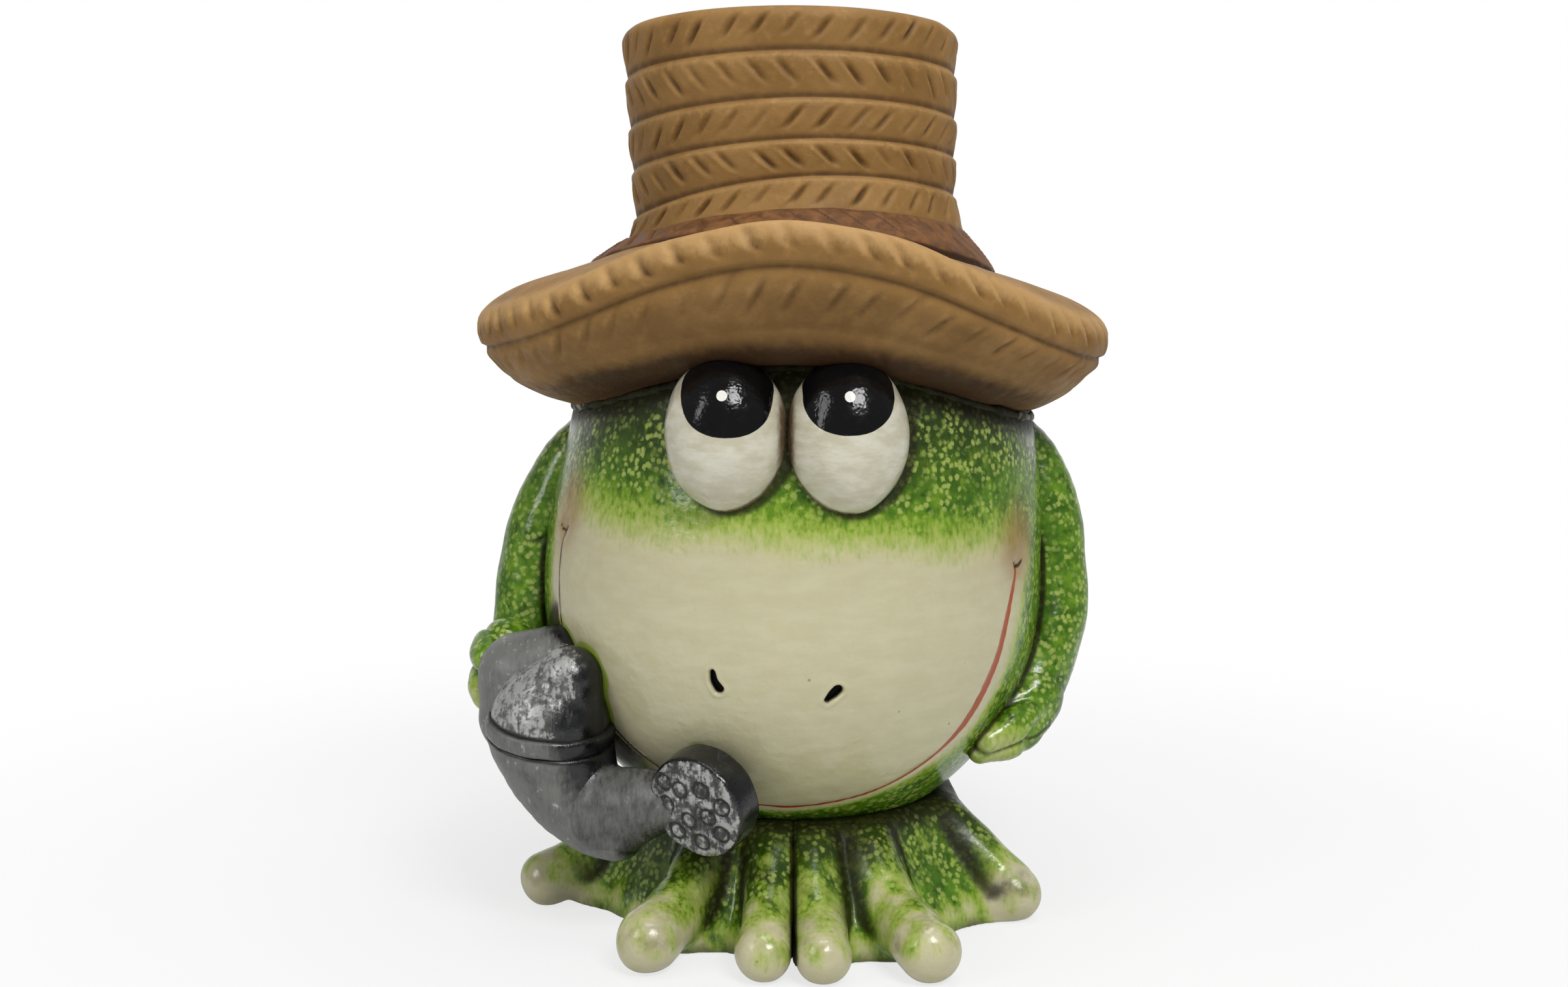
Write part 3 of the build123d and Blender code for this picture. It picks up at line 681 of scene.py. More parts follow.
CROWN_GROOVES = (            # height at the sides, tilt to the right and front arch, from the top down
    (287.2, 0.55, 1.7), (271.3, 1.35, 3.0), (257.6, 2.1, 3.8), (243.0, 3.9, 6.6), (231.0, 2.0, 6.5),
)
CROWN_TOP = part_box("hat_crown")[1].z / MM
CROWN_FOOT_RADIUS = 55.5
CROWN_TOP_RADIUS = 57.4
CROWN_FLARE = 4.2            # how far the lowest row spreads towards the band
CROWN_LEAN = 2.2             # how far the top stands to the left of the foot
CROWN_SHOULDER = 4.5
ROW_RECESS = 0.65            # how far a row steps back at its foot and stands out at its lip
ROW_LIP = 0.5
CROWN_STROKES = 34
BAND_SECTION = (             # radius, height at the sides and front arch, from the brim up to the crown
    (70.6, 219.6, 11.0), (70.4, 222.3, 11.0), (67.0, 226.0, 9.5), (62.8, 229.8, 8.0), (60.0, 232.4, 6.6),
    (57.6, 232.6, 6.5), (55.0, 231.0, 6.5),
)
BAND_STROKES = 40


def front_lift(azimuth, peak=2.0):
    """Share of the front lift at azimuths in radians; the back has less."""
    share = np.where(np.cos(azimuth) > 0, 1.0, BACK_SHARE)
    return share * np.abs(np.cos(azimuth)) ** peak


def seam_height(azimuth):
    """Height at which the brim meets the head."""
    lift = (BRIM_FRONT[1][1] - BRIM_SIDE[1][1]) * front_lift(azimuth, BRIM_PEAK[1])
    return BRIM_SIDE[1][1] + lift - BRIM_TILT * np.sin(azimuth)


def bead_height(points):
    """Height of points below the seam between head and brim."""
    azimuth = np.arctan2(points[..., 0], -points[..., 1])
    return seam_height(azimuth) - points[..., 2]


def strokes(azimuth, along, count, slant, low, high, width, pitch, seed):
    """Depth and raised lip of slanted tool strokes round a ring; along runs from 0 to 1 up the plait."""
    phase = count * azimuth / (2 * np.pi) - slant * (along - 0.5)
    number = np.round(phase)
    jitter = np.random.default_rng(seed).uniform(-1, 1, (3, count))
    own = number.astype(int) % count
    distance = (phase - number - 0.1 * jitter[0][own]) * pitch
    ends = smoothstep(low, low + 0.3, along + 0.08 * jitter[1][own])
    ends = ends * smoothstep(high, high - 0.3, along + 0.08 * jitter[1][own])
    strength = ends * (0.9 + 0.35 * jitter[2][own])
    return strength * bump_at(distance, 0, width), strength * bump_at(distance, -1.9 * width, width)


def make_brim(straw):
    columns = np.linspace(-np.pi, np.pi, 620, endpoint=False)
    side = smooth_curve(np.column_stack([BRIM_SIDE, BRIM_PEAK]), STEPS_PER_STATION)
    front = smooth_curve(BRIM_FRONT, STEPS_PER_STATION)
    station = np.arange(len(side))[:, None] / STEPS_PER_STATION
    lift = front_lift(columns[None, :], side[:, 2:])
    radius = side[:, :1] + (front[:, :1] - side[:, :1]) * lift
    height = side[:, 1:2] + (front[:, 1:] - side[:, 1:2]) * lift
    height = height - BRIM_TILT * np.sin(columns)

    across, up = np.gradient(radius, axis=0), np.gradient(height, axis=0)
    length = np.hypot(across, up)
    edge_cut, edge_lip = strokes(columns, (station - EDGE_GROOVE) / (TOP_EDGE - EDGE_GROOVE), *EDGE_STROKES)
    under_along = (station - UNDER_GROOVE) / (EDGE_GROOVE - UNDER_GROOVE)
    under_cut, under_lip = strokes(columns, under_along, *UNDER_STROKES)
    low_along = (station - LOW_GROOVE) / (UNDER_GROOVE - LOW_GROOVE)
    low_cut, low_lip = strokes(columns, low_along, *LOW_STROKES)
    groove = bump_at(station, EDGE_GROOVE, 0.11)
    faint = 0.6 * bump_at(station, UNDER_GROOVE, 0.10) * (0.7 + 0.3 * np.sin(3 * columns + 1))
    cut = edge_cut + 0.75 * under_cut + 0.3 * low_cut
    lips = 0.5 * edge_lip + 0.35 * under_lip + 0.15 * low_lip
    points = ring_points(columns, radius, height)
    relief = 0.5 * ripple(points, 26, 21) - 1.2 * groove - 0.7 * faint - 1.7 * cut + 0.5 * lips
    relief += 0.35 * bump_at(station, EDGE_GROOVE - 0.3, 0.15)
    points += heading_of(columns)[None] * (relief * up / length)[..., None]
    points[..., 2] -= relief * across / length
    level = np.hypot(points[..., 0], points[..., 1])
    points[..., :2] *= np.minimum(1, BRIM_LIMIT / level)[..., None]
    # Darker under the brim towards the seam with the head, most at the front.
    seam = 0.42 * smoothstep(4.1, 3.4, station) + 0.7 * smoothstep(2.9, 2.25, station)
    dark_near_seam = seam * (0.4 + 0.6 * smoothstep(0.2, 0.9, np.cos(columns)))
    # Painted shade in the grooves, the strokes and towards the crown; painted highlight on the lips and
    # along the edges.
    hollow = np.clip(0.65 * groove + 0.4 * faint + 0.6 * cut + 0.25 * smoothstep(8.0, 9.2, station), 0, 1)
    wear_and_highlight = 0.3 * bump_at(station, EDGE_GROOVE - 0.3, 0.14) + 0.95 * bump_at(station, TOP_EDGE - 0.4, 0.7)
    ridge = np.clip(lips + wear_and_highlight, 0, 1)
    fields = {"hollow": hollow, "ridge": ridge, "dark_near_seam": dark_near_seam}
    add_piece("straw_brim", points, ring_faces(*points.shape[:2]), straw, ["hat_brim"], fields)


def groove_height(groove, azimuth):
    side, tilt, arch = groove
    return side + tilt * np.sin(azimuth) + arch * front_lift(azimuth)


def crown_rows(columns, steps):
    """Heights, relief, hollows and ridges of the plait rows from under the band up to the crown's edge."""
    lines = [groove_height(groove, columns) for groove in CROWN_GROOVES[::-1]]
    lines = [lines[0] - 8.0, *lines, np.full_like(columns, CROWN_TOP)]
    slants = (0.0, 1.0, -1.15, 1.15, -1.15, 1.1)
    along = np.linspace(0, 1, steps, endpoint=False)[:, None] * np.ones_like(columns)
    rows = []
    for row, (low, high) in enumerate(zip(lines, lines[1:])):
        height = low + along * (high - low)
        face = 1 - (1 - np.clip(along / 0.88, 0, 1)) ** 2
        lip = smoothstep(0.6, 0.86, along) * smoothstep(1.0, 0.9, along)
        foot = smoothstep(0.2, 0.0, along) + 0.35 * smoothstep(0.6, 0.0, along)
        relief = face * smoothstep(1.0, 0.86, along) * (ROW_RECESS + ROW_LIP) - ROW_RECESS
        cut = edge = np.zeros_like(height)
        if row == 0:
            relief = CROWN_FLARE + 5.0 * (1 - along)
        else:
            cut, edge = strokes(columns, along, CROWN_STROKES, slants[row], 0.16, 0.88, 1.2, 10.4, 30 + row)
        if row == 1:
            relief = relief + CROWN_FLARE * (1 - along) ** 1.6
        if row == len(lines) - 2:
            inset = np.clip(1 - (CROWN_TOP - height) / CROWN_SHOULDER, 0, 1)
            relief = relief * (1 - inset) - CROWN_SHOULDER * (1 - np.sqrt(1 - inset ** 2))
            lip = 0.4 * lip * (inset == 0)
        relief = relief - 1.4 * cut + 0.3 * edge
        # Painted shade at each row's foot and in the strokes; painted highlight on the lips.
        hollow = np.clip(0.6 * foot + 0.75 * cut, 0, 1)
        ridge = np.clip(0.5 * lip + 0.4 * edge, 0, 1)
        rows.append((height, relief, hollow, ridge))
    return [np.concatenate(layer) for layer in zip(*rows)]


def make_crown(straw):
    """Five plait rows that stand out towards their upper edge, and a slightly dished top."""
    columns = np.linspace(-np.pi, np.pi, 470, endpoint=False)
    height, relief, hollow, ridge = crown_rows(columns, 27)
    span = CROWN_TOP - CROWN_GROOVES[-1][0]
    share = (height - CROWN_GROOVES[-1][0]) / span
    radius = CROWN_FOOT_RADIUS + share * (CROWN_TOP_RADIUS - CROWN_FOOT_RADIUS) + relief
    shares = np.linspace(1, 0.004, 30)[:, None]
    top = np.ones_like(columns) * shares
    radius = np.concatenate([radius, (CROWN_TOP_RADIUS - CROWN_SHOULDER) * top])
    height = np.concatenate([height, CROWN_TOP - 1.2 * smoothstep(0.97, 0.85, top)])
    hollow = np.concatenate([hollow, 0.1 * top])
    ridge = np.concatenate([ridge, 0 * top])
    points = ring_points(columns, radius, height)
    uneven = 0.3 * ripple(points, 24, 31) * (radius > CROWN_TOP_RADIUS - CROWN_SHOULDER)
    points = points + heading_of(columns)[None] * uneven[..., None]
    points[..., 0] += CROWN_LEAN * (0.5 - (height - CROWN_GROOVES[-1][0]) / span)
    add_piece("straw_crown", points, ring_faces(*points.shape[:2]), straw, ["hat_crown"],
              {"hollow": hollow, "ridge": ridge})


def make_band(paint):
    columns = np.linspace(-np.pi, np.pi, 480, endpoint=False)
    section = smooth_curve(BAND_SECTION, 7)
    station = np.arange(len(section))[:, None] / 7
    radius = section[:, :1] + 0 * columns
    tilt = np.interp(station, (1.0, 4.0), (-1.3, 2.0)) * np.sin(columns)
    height = section[:, 1:2] + section[:, 2:] * front_lift(columns) + tilt
    cut, lip = strokes(columns, (station - 1) / 3.2, BAND_STROKES, -1.0, 0.0, 1.0, 0.7, 10.5, 41)
    points = ring_points(columns, radius, height)
    relief = 0.3 * ripple(points, 15, 42) - 0.7 * cut + 0.3 * lip
    points += heading_of(columns)[None] * (0.7 * relief)[..., None]
    points[..., 2] += 0.7 * relief
    # Darker painted strokes, with painted shade where the band meets the brim and the crown.
    hollow = np.clip(0.9 * cut + 0.5 * bump_at(station, 4.4, 0.5) + smoothstep(1.3, 0.4, station), 0, 1)
    add_piece("plaited_band", points, ring_faces(*points.shape[:2]), paint, ["hat_band"],
              {"hollow": hollow})


def make_bead(clay):
    """Uneven bead that was wiped along the seam under the brim."""
    columns = np.linspace(-np.pi, np.pi, 420, endpoint=False)
    turn = np.linspace(0, 2 * np.pi, 14)[:, None]
    seam = seam_height(columns) - 0.8
    centre_radius = body_reach(seam - BODY_CENTRE) + 0.2
    ring = heading_of(columns) * centre_radius[:, None]
    ring[:, 2] = seam
    size = 1.1 + 0.4 * ripple(ring, 12, 51) + 0.25 * ripple(ring, 5, 52)
    radius = centre_radius - size * np.cos(turn)
    points = ring_points(columns, radius, seam + 1.3 * size * np.sin(turn))
    # The pale clay shows only at the temples; elsewhere the bead is painted dark as shade under the brim.
    pale = 0.58 * smoothstep(0.75, 0.97, np.abs(np.sin(columns))) + 0 * turn
    add_piece("seam_bead", leaned(points), ring_faces(*points.shape[:2]), clay, ["hat_bead"],
              {"pale": pale})


# Arms and hands: azimuth, rise, stand-off and radius of each station

RIGHT_ARM = (
    (93.0, 60.0, -11.0, 9.0), (92.0, 44.0, -3.0, 11.5), (91.0, 24.0, 2.0, 13.2), (89.5, 4.0, 3.6, 13.8),
    (86.0, -12.0, 3.8, 13.4), (82.0, -27.0, 3.2, 12.4), (77.0, -37.0, 3.0, 11.4),
)
LEFT_ARM = (
    (-93.0, 60.0, -11.0, 9.0), (-92.0, 44.0, -3.0, 11.5), (-91.0, 24.0, 1.6, 13.0), (-90.0, 4.0, 4.0, 13.4),
    (-88.0, -12.0, 7.0, 12.6), (-85.0, -24.0, 12.0, 11.5),
)
RIGHT_PALM = ((78.0, -35.0, 4.0, 12.2), (71.5, -42.5, 4.0, 11.2))
RIGHT_FINGERS = (
    ((73.0, -36.0, 7.0, 6.8), (65.0, -41.0, 4.8, 6.2), (58.5, -46.0, 2.0, 4.6)),
    ((73.0, -43.0, 8.0, 7.2), (66.0, -46.5, 5.5, 6.4), (59.5, -50.0, 1.8, 4.6)),
)
ELBOW = {"right": (88.0, -10.0), "left": (-89.0, 20.0)}


def body_path(stations):
    stations = np.asarray(stations, float)
    return np.column_stack([on_body(stations[:, 0], stations[:, 1], stations[:, 2]), stations[:, 3]])


def box_of(*paths):
    """Box round stations of point and radius."""
    stations = np.vstack(paths)
    return (stations[:, :3] - stations[:, 3:]).min(axis=0), (stations[:, :3] + stations[:, 3:]).max(axis=0)


def seat_shade(points):
    """Painted shade in the crease where a piece meets the ball."""
    return smoothstep(3.2, 0.4, body_field(points))


def make_arm(side, path, glaze):
    stations = body_path(path)
    azimuth, rise = ELBOW[side]
    elbow = on_body(azimuth, rise, 4.0)
    sign = 1 if side == "right" else -1
    fold_normal = np.array([0.28 * sign, 0.35, 1.0])
    fold_normal /= np.linalg.norm(fold_normal)

    def crease(points):
        offset = points - elbow
        inner = smoothstep(6.0, -4.0, offset[..., 0] * sign)
        return bump_at(offset @ fold_normal + 0.06 * offset[..., 1] ** 2, 0, 1.1) * inner

    def field(points):
        return limb_field(points, stations) + 1.0 * crease(points) + 0.3 * ripple(points, 18, 61)

    low, high = box_of(stations)
    points, faces = sculpt(field, low, high, 1.15)
    # Painted shade where the arm meets the ball and the brim, and in the elbow fold.
    shade_and_dirt = largest(seat_shade(points) * smoothstep(142, 120, points[:, 2]), 0.9 * crease(points),
                   smoothstep(9, 1, bead_height(points)))
    shade = 0.8 * smoothstep(150, 172, points[:, 2])
    add_piece(side + "_arm_limb", leaned(points), faces, glaze, [side + "_arm"],
              {"shade_and_dirt": shade_and_dirt, "shade": shade})


def fingers_field(points, palm, fingers):
    """Palm with fingers that stay apart by a crease."""
    field = limb_field(points, palm)
    for finger in fingers:
        other = limb_field(points, finger)
        field = np.minimum(field, other) + 0.8 * bump_at(field - other, 0, 0.9)
    return field


def make_hand(side, palm, fingers, glaze):
    def field(points):
        return fingers_field(points, palm, fingers) + 0.2 * ripple(points, 11, 71)

    low, high = box_of(palm, *fingers)
    points, faces = sculpt(field, low, high, 0.9)
    creases = np.zeros(len(points))
    for finger in fingers:
        seam = bump_at(limb_field(points, palm) - limb_field(points, finger), 0, 1.0)
        creases = np.maximum(creases, 0.35 * seam)
    first, second = (limb_field(points, finger) for finger in fingers[:2])
    creases = np.maximum(creases, bump_at(first - second, 0, 1.0))
    tips = np.min([np.linalg.norm(points - finger[-1][:3], axis=-1) for finger in fingers], axis=0)
    low_side = smoothstep(4, -6, points[:, 2] - palm[:, 2].mean())
    cream = (0.1 + 0.5 * low_side) * smoothstep(24, 5, tips)
    # Painted shade in the finger creases and where the hand meets the ball.
    shade_and_dirt = np.maximum(0.75 * creases, 0.8 * seat_shade(points))
    add_piece(side + "_hand_palm", points, faces, glaze, [side + "_hand"],
              {"shade_and_dirt": shade_and_dirt, "cream": cream})


# Feet: azimuth, reach of the tip's centre and tip radius of each toe

TOES = {
    "left_foot": ((-5.9, 91.0, 9.0), (-28.7, 95.0, 10.5), (-75.5, 89.0, 9.5)),
    "right_foot": ((5.7, 93.5, 8.8), (24.7, 100.5, 10.0), (65.0, 84.5, 9.0)),
}
WEB_REACH = {"left_foot": 70.0, "right_foot": 75.0}   # between the toes
SKIRT_REACH = 73.0           # at the back
WEB_HEIGHT = 8.0
SKIRT_TOP = (54.0, 45.0)     # radius and height where the skirt meets the ball
SKIRT_RIM = 39.5             # height at which skirt and toes are trimmed round the ball
SKIRT_BORE = 46.0
FOOT_LAP = 0.3               # how far each foot reaches over the middle, where they are pressed together
TOE_FILLET = 9.0
TOE_RIDGE_PALENESS = {"left_foot": 0.42, "right_foot": 0.62}    # how pale the ridges over the toes are


def toe_path(toe):
    azimuth, reach, radius = toe
    heading = heading_of(np.array(np.radians(azimuth)))
    stations = []
    for distance, height, size in ((50.0, 38.0, 6.5), (62.0, 29.0, 7.4), (78.0, 15.5, 0.86 * radius),
                                   (reach, radius - 0.5, radius)):
        stations.append((*(heading * distance)[:2], height, size))
    return np.array(stations)


def web_field(points, name):
    """Distance to the skirt that spreads into the webs between the toes."""
    level = np.hypot(points[..., 0], points[..., 1])
    azimuth = np.degrees(np.arctan2(points[..., 0], -points[..., 1]))
    edge = SKIRT_REACH + (WEB_REACH[name] - SKIRT_REACH) * smoothstep(110, 80, np.abs(azimuth))
    edge = edge + sum(9 * bump_at(azimuth, toe[0], 9) for toe in TOES[name])
    share = np.clip((level - SKIRT_TOP[0]) / (edge - SKIRT_TOP[0]), 0, 1.2)
    top = WEB_HEIGHT + (SKIRT_TOP[1] - WEB_HEIGHT) * np.clip(1 - share, 0, 1) ** 1.2
    slope = (SKIRT_TOP[1] - WEB_HEIGHT) / (edge - SKIRT_TOP[0])
    over = (points[..., 2] - top) / np.sqrt(1 + slope ** 2)
    return smooth_max(over, level - edge, 5.0)


def toes_field(points, name):
    return np.minimum.reduce([limb_field(points, toe_path(toe), 3) for toe in TOES[name]])


def make_foot(name, side, glaze):
    def field(points):
        solid = smooth_min(web_field(points, name), toes_field(points, name), TOE_FILLET)
        solid = solid + 0.3 * ripple(points, 16, 81)
        solid = smooth_max(solid, points[..., 2] - SKIRT_RIM, 4.0)
        solid = smooth_max(solid, -points[..., 2], 1.2)
        solid = smooth_max(solid, SKIRT_BORE - np.hypot(points[..., 0], points[..., 1]), 1.0)
        return smooth_max(solid, -FOOT_LAP - side * points[..., 0], 2.0)

    cad_low, cad_high = (np.array(corner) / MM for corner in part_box(name))
    points, faces = sculpt(field, cad_low - 4, cad_high + 4, 1.25)
    points[:, 2] = np.maximum(points[:, 2], 0.0)
    height = points[:, 2]
    valley = bump_at(toes_field(points, name), 2.6, 2.8) * smoothstep(4, 12, height)
    split = smoothstep(2.4, 0.3, side * points[:, 0])
    tips = np.full(len(points), np.inf)
    for toe in TOES[name]:
        stations = toe_path(toe)
        tips = np.minimum(tips, np.linalg.norm(points - stations[-1][:3], axis=-1) - stations[-1][3])
    web = 0.5 * smoothstep(14, 5, height)
    # Pale cream along the ridges over the toes, partly rubbed paint and partly a painted highlight.
    wear_and_highlight = TOE_RIDGE_PALENESS[name] * smoothstep(2.0, 0.0, toes_field(points, name)) * smoothstep(38, 16, height)
    tip_cream = 0.78 - tips / 14 + 0.25 * smoothstep(14, 4, height)
    cream = largest(np.clip(tip_cream, 0, 1), web, wear_and_highlight)
    cream = np.clip(cream + 0.25 * ripple(points, 10, 82), 0, 1)
    hem = 0.55 * smoothstep(8, 1, height) * smoothstep(3, 7, tips)
    soiled = 0.42 * smoothstep(0.1, 1.0, ripple(points, 9, 83)) * smoothstep(1.0, 5.0, tips)
    gap = can_gap(points)
    # Painted shade between the toes, between the feet, low along the floor and near the ball and the can;
    # soiled is dirt.
    shade_and_dirt = largest(0.85 * valley, 0.95 * split, hem, soiled, 0.9 * smoothstep(17, 2, body_field(points)),
                   0.85 * smoothstep(20, 2, gap))
    shade = np.maximum(0.8 * smoothstep(14, 36, height), 0.8 * smoothstep(45, 12, gap))
    add_piece(name + "_toes", points, faces, glaze, [name],
              {"shade_and_dirt": shade_and_dirt, "cream": cream, "shade": shade})


# Watering can, measured from the spot on the ball that carries it: to the right, outwards and up

CAN_SPOT = (-57.5, -34.0)    # azimuth and rise
CAN_BARREL = (
    (-2.0, 15.5, 4.0, 20.5), (0.6, 14.6, -6.3, 20.4), (5.3, 11.0, -20.9, 17.2), (13.1, 6.2, -32.5, 13.0),
    (22.3, 1.2, -37.6, 9.5),
)
CAN_RIM = (0.6, 14.6, -8.5)
CAN_RIM_LEAN = 11.0
CAN_MOUTH_RADIUS = 20.8
CAN_RIM_WIDTH = 7.0
CAN_DOME_RADIUS = 19.5
CAN_DOME_HEIGHT = 16.0
DOME_LOBE = ((2.0, 14.0, 3.0, 15.0), (9.5, 11.0, 12.0, 11.0))
CAN_HANDLE = ((-14.0, 19.0, -4.0, 13.5), (-15.5, 16.5, 9.0, 14.5), (-7.0, 8.0, 15.0, 12.0))
CAN_SPOUT = (
    (19.0, 3.0, -30.3, 12.3), (27.0, -2.0, -28.0, 12.4), (35.0, -9.5, -26.0, 9.4), (42.0, -14.0, -25.2, 7.5),
)
LEFT_PALM = ((-33.0, 14.0, 15.0, 11.0), (-28.5, 17.0, 3.0, 11.0))
LEFT_FINGERS = (
    ((-33.5, 20.0, 16.0, 7.3), (-30.0, 22.5, 15.0, 6.8), (-26.0, 24.0, 14.0, 6.0)),
    ((-31.5, 22.0, 6.0, 7.3), (-28.5, 24.0, 4.0, 6.8), (-25.0, 25.0, 2.0, 6.0)),
)
SPOUT_FILLET = 5.0
ROSE_FACE = (53.8, -9.3, -24.3)
ROSE_RADIUS = 17.3
ROSE_EDGE = 12.0
ROSE_BACK = 5.0
ROSE_NECK = 10.0
ROSE_TURN = -32.0
ROSE_DROOP = 14.0
ROSE_RINGS = (               # places of the ring marks on the face, as shares of its radius
    (-0.25, 0.36), (0.22, 0.42), (0.62, 0.14), (0.30, -0.10), (-0.14, -0.24), (0.52, -0.42), (-0.60, 0.02),
    (-0.46, -0.52), (0.06, -0.66), (-0.60, 0.46),
)
RING_RADIUS = 2.7


def can_path(stations):
    """World points and radii of stations measured from the can's spot."""
    stations = np.atleast_2d(np.asarray(stations, float))
    azimuth = radians(CAN_SPOT[0])
    right = np.array([np.cos(azimuth), np.sin(azimuth), 0])
    outwards = np.array([np.sin(azimuth), -np.cos(azimuth), 0])
    place = on_body(*CAN_SPOT) + stations[:, :1] * right + stations[:, 1:2] * outwards
    place[:, 2] += stations[:, 2]
    return np.column_stack([place, stations[:, 3:]])


CAN_MOUTH = can_path(CAN_RIM)[0]
CAN_AXIS = np.array([
    np.cos(radians(CAN_SPOT[0])) * np.sin(radians(CAN_RIM_LEAN)),
    np.sin(radians(CAN_SPOT[0])) * np.sin(radians(CAN_RIM_LEAN)),
    np.cos(radians(CAN_RIM_LEAN)),
])
ROSE_NORMAL = np.array([
    np.sin(radians(ROSE_TURN)) * np.cos(radians(ROSE_DROOP)),
    -np.cos(radians(ROSE_TURN)) * np.cos(radians(ROSE_DROOP)),
    -np.sin(radians(ROSE_DROOP)),
])
ROSE_CENTRE = can_path(ROSE_FACE)[0]


def along_can(points):
    """Height over the can's mouth and distance from the can's axis."""
    offset = points - CAN_MOUTH
    height = offset @ CAN_AXIS
    return height, np.linalg.norm(offset - height[..., None] * CAN_AXIS, axis=-1)


def barrel_field(points):
    return smooth_max(limb_field(points, can_path(CAN_BARREL)), along_can(points)[0] - 0.6, 1.5)


def rim_field(points):
    """Flat ring between two grooves."""
    height, level = along_can(points)
    side = level - CAN_MOUTH_RADIUS - 0.5 + 0.05 * (height - CAN_RIM_WIDTH / 2) ** 2
    return smooth_max(side, np.abs(height - CAN_RIM_WIDTH / 2) - CAN_RIM_WIDTH / 2 + 0.3, 1.6)


def dome_field(points):
    height, level = along_can(points)
    squash = CAN_DOME_RADIUS / CAN_DOME_HEIGHT
    rise = (height - CAN_RIM_WIDTH) * squash
    ball = np.hypot(level, np.maximum(rise, 0)) - CAN_DOME_RADIUS
    return smooth_max(ball, -height, 1.0)


def cover_field(points):
    """Dome with a lobe that leans against the ball."""
    lobe = cone_field(points, *can_path(DOME_LOBE))
    return smooth_min(dome_field(points), smooth_max(lobe, -along_can(points)[0], 1.0), 5.0)


def hood_field(points):
    low, top, end = can_path(CAN_HANDLE)
    return smooth_min(cone_field(points, low, top), cone_field(points, top, end), 3.0)


def spout_field(points):
    """Spout with a luted fillet where it leaves the barrel."""
    tube = limb_field(points, can_path(CAN_SPOUT), 5)
    luted = smooth_min(tube, barrel_field(points) + 0.6, SPOUT_FILLET)
    return smooth_max(luted, tube - 3.0, 1.0)


def rose_axes():
    across = np.cross(ROSE_NORMAL, [0, 0, 1.0])
    across = -across / np.linalg.norm(across)
    return across, np.cross(ROSE_NORMAL, across)


def ring_marks(points):
    """How near points are to the ring marks on the sprinkler's face."""
    offset = points - ROSE_CENTRE
    across, upward = rose_axes()
    marks = np.zeros(points.shape[:-1])
    for u, v in ROSE_RINGS:
        ring = np.hypot(offset @ across - u * ROSE_RADIUS, offset @ upward - v * ROSE_RADIUS)
        marks = np.maximum(marks, bump_at(ring, RING_RADIUS, 0.55))
    return marks


def rose_field(points):
    """Drum with a cone behind it and ring marks pressed into its slightly crowned face."""
    offset = points - ROSE_CENTRE
    depth = -(offset @ ROSE_NORMAL)
    level = np.linalg.norm(offset + depth[..., None] * ROSE_NORMAL, axis=-1)
    taper = (ROSE_RADIUS - ROSE_NECK) / ROSE_BACK
    cone = level - ROSE_RADIUS + taper * np.maximum(depth - ROSE_EDGE, 0)
    cone = cone / np.where(depth > ROSE_EDGE, np.sqrt(1 + taper ** 2), 1)
    face = -depth + 0.004 * level ** 2 + 0.75 * ring_marks(points) * (np.abs(depth) < 4)
    back = depth - ROSE_EDGE - ROSE_BACK
    return smooth_max(smooth_max(cone, face, 2.2), back, 1.0)


def can_gap(points):
    """Distance from points on the ball to the can and its sprinkler."""
    forms = (barrel_field, rose_field, cover_field, hood_field)
    return np.minimum.reduce([form(points) for form in forms])


def can_outline(points):
    """Pale green brushed on the ball along the edge of can and sprinkler."""
    gap = can_gap(points)
    return 0.85 * smoothstep(3.0, 0.8, gap + 0.5 * ripple(points, 9, 91))


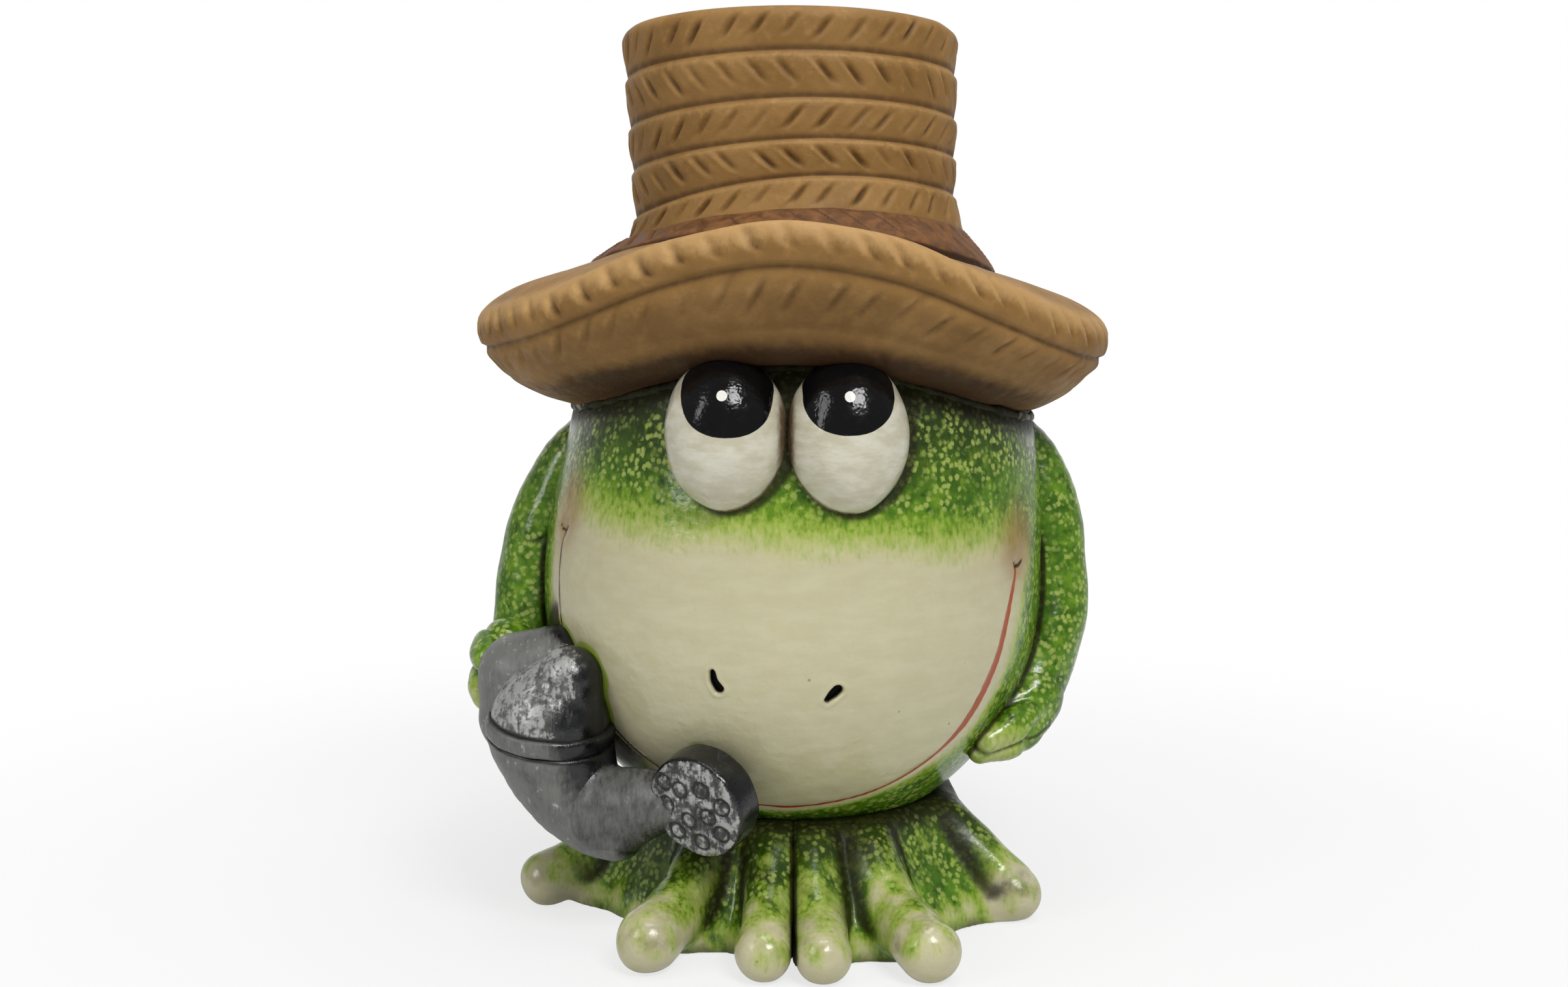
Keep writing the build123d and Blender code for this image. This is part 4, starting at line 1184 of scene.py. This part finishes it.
def make_can(paint):
    barrel, handle = can_path(CAN_BARREL), can_path(CAN_HANDLE)
    spout = can_path(CAN_SPOUT) + np.array([0, 0, 0, 6.0])
    mouth = np.array([[*CAN_MOUTH, CAN_MOUTH_RADIUS + CAN_RIM_WIDTH]])
    dome = np.vstack([[*(CAN_MOUTH + CAN_AXIS * CAN_RIM_WIDTH), CAN_DOME_RADIUS + 1], can_path(DOME_LOBE)])
    rose = np.array([[*(ROSE_CENTRE - 0.5 * (ROSE_EDGE + ROSE_BACK) * ROSE_NORMAL), ROSE_RADIUS + 6]])
    forms = (
        ("can_barrel", barrel_field, box_of(barrel), 1.0, "can_body", 0.68, 0.15),
        ("can_rim_ring", rim_field, box_of(mouth), 0.8, "can_rim", 0.6, 0.24),
        ("can_dome_cover", cover_field, box_of(dome), 0.8, "can_dome", 0.5, 0.6),
        ("can_hood", hood_field, box_of(handle), 0.9, "can_handle", 0.75, 0.24),
        ("can_spout_tube", spout_field, box_of(spout), 0.9, "can_spout", 0.5, 0.1),
        ("can_sprinkler", rose_field, box_of(rose), 0.55, "can_rose", 0.3, 0.5),
    )
    for name, field, (low, high), step, node, rub, silver in forms:
        def uneven(points, field=field):
            return field(points) + 0.2 * ripple(points, 13, 95)

        points, faces = sculpt(uneven, low, high, step)
        # Painted shade: graphite and silver are kept off the places near the ball and the sides that face
        # right, and the grooves and ring marks are darkened.
        near_ball = smoothstep(10.0, 2.0, body_field(points))
        right_side = smoothstep(-0.1, 0.55, slope_of(uneven, points)[:, 0]) * (node != "can_handle")
        kept = 1 - 0.95 * np.maximum(near_ball, right_side)
        shade_and_dirt = 0.5 * smoothstep(3.0, 0.3, body_field(points))
        height = along_can(points)[0]
        grooves = bump_at(height, 0, 0.9) + bump_at(height, CAN_RIM_WIDTH, 0.9)
        nodes = [node]
        if node == "can_rose":
            nodes.append("can_rose_rings")
            depth = -(points - ROSE_CENTRE) @ ROSE_NORMAL
            kept = np.where(depth < 1.5, 1.0, 0.1)
            shade_and_dirt = ring_marks(points) * (depth < 2)
        elif node in ("can_rim", "can_body", "can_dome"):
            shade_and_dirt = np.maximum(shade_and_dirt, grooves)
        add_piece(name, points, faces, paint, nodes,
                  {"rub": rub * kept, "silver": silver * kept, "shade_and_dirt": shade_and_dirt})


# Figure

def make_figure():
    glaze, eye, straw, can = frog_glaze(), eye_glaze(), straw_paint(), can_paint()
    make_body(glaze)
    for name in EYE_CENTRES:
        make_eye(name, eye)
    make_arm("right", RIGHT_ARM, glaze)
    make_arm("left", LEFT_ARM, glaze)
    make_hand("right", body_path(RIGHT_PALM), [body_path(finger) for finger in RIGHT_FINGERS], glaze)
    make_hand("left", can_path(LEFT_PALM), [can_path(finger) for finger in LEFT_FINGERS], glaze)
    make_foot("left_foot", -1, glaze)
    make_foot("right_foot", 1, glaze)
    make_brim(straw)
    make_crown(straw)
    make_band(band_paint())
    make_bead(bedding())
    make_can(can)


# Studio: camera, floor and light

CAMERA_PLACE = (-3.0, -600.0, 206.7)
CAMERA_PITCH = 6.1           # degrees down
CAMERA_FOCUS = 2600.0        # focal length in pixels of the photograph's width
PHOTO_WIDTH = 2408.0
ROOM_LIGHT = 0.28            # strength of the room's light, where the far side is 1
FLOOR_HALF = 4.0             # metres
FLOOR_DROP = 0.0002          # metres below the feet
FLOOR_TONE = 0.7
FLOOR_GLOW = 0.74            # share of plain white that the camera sees at the figure's foot
AIM = (0.0, 0.0, 0.15)       # metres, as are the lamps' places and sizes
LAMPS = {                    # place, size and power
    "key_box": ((0.4, -0.95, 1.05), (0.5, 0.35), 11.5),
    "fill_box": ((-0.9, -0.7, 0.7), (0.35, 0.6), 3.5),
    "top_box": ((0.1, -0.1, 1.3), (0.7, 0.5), 6.5),
}


def make_camera():
    data = bpy.data.cameras.new("camera")
    data.sensor_width = 36.0
    data.lens = data.sensor_width * CAMERA_FOCUS / PHOTO_WIDTH
    camera = bpy.data.objects.new("camera", data)
    camera.location = [value * MM for value in CAMERA_PLACE]
    camera.rotation_euler = (radians(90 - CAMERA_PITCH), 0, 0)
    bpy.context.collection.objects.link(camera)
    bpy.context.scene.camera = camera


def shown_rays(nodes, reflected):
    """One for rays from the camera, the given share for reflected or refracted ones, otherwise nothing."""
    rays = nodes.node("ShaderNodeLightPath").outputs
    shiny = nodes.math("MAXIMUM", rays["Is Glossy Ray"], rays["Is Transmission Ray"])
    return nodes.math("MAXIMUM", rays["Is Camera Ray"], nodes.math("MULTIPLY", shiny, reflected))


def make_world():
    """White to the camera; light and reflections come from a dimmer room with a white far side."""
    world = bpy.data.worlds.new("studio")
    bpy.context.scene.world = world
    world.use_nodes = True
    nodes = Nodes(world.node_tree)
    place = nodes.node("ShaderNodeTexCoord").outputs["Generated"]
    depth = nodes.node("ShaderNodeSeparateXYZ", {0: place}).outputs["Y"]
    shown = shown_rays(nodes, nodes.between(depth, 0.3, 1.0))
    level = nodes.node("ShaderNodeMapRange", {"Value": shown, "To Min": ROOM_LIGHT})
    background = nodes.tree.nodes["Background"]
    nodes.put(background.inputs["Color"], (1, 1, 1, 1))
    nodes.put(background.inputs["Strength"], level.outputs["Result"])


def floor_paint():
    """Pale grey that looks white to the camera, less so near the figure."""
    f = Finish("floor")
    f.set(Base_Color=(FLOOR_TONE, FLOOR_TONE, FLOOR_TONE, 1), Roughness=0.9)
    reach = f.node("ShaderNodeVectorMath", {0: f.place}, operation="LENGTH").outputs["Value"]
    share = f.math("MULTIPLY", shown_rays(f, 0.3), f.between(reach, 0.1, 0.5, FLOOR_GLOW, 1.0))
    glow = f.node("ShaderNodeEmission").outputs[0]
    mix = f.node("ShaderNodeMixShader", {"Fac": share, 1: f.shader.outputs[0], 2: glow})
    f.put(f.tree.nodes["Material Output"].inputs["Surface"], mix.outputs[0])
    return f.material


def make_floor():
    """Floor that keeps the figure's shadow."""
    mesh = bpy.data.meshes.new("floor")
    corners = ((-1, -1), (1, -1), (1, 1), (-1, 1))
    mesh.from_pydata([(x * FLOOR_HALF, y * FLOOR_HALF, 0) for x, y in corners], [], [(0, 1, 2, 3)])
    mesh.materials.append(floor_paint())
    floor = bpy.data.objects.new("floor", mesh)
    floor.location.z = -FLOOR_DROP
    bpy.context.collection.objects.link(floor)


def make_lamp(name, place, aim, size, energy):
    data = bpy.data.lights.new(name, "AREA")
    data.shape = "RECTANGLE"
    data.size, data.size_y = size
    data.energy = energy
    lamp = bpy.data.objects.new(name, data)
    lamp.location = place
    offset = np.array(aim) - np.array(place)
    lamp.rotation_euler = (np.arctan2(np.hypot(offset[0], offset[1]), -offset[2]), 0,
                           np.arctan2(offset[1], offset[0]) - np.pi / 2)
    bpy.context.collection.objects.link(lamp)


def make_studio():
    make_camera()
    make_world()
    make_floor()
    for name, (place, size, energy) in LAMPS.items():
        make_lamp(name, place, AIM, size, energy)
    bpy.context.scene.view_settings.view_transform = "Standard"


make_figure()
make_studio()
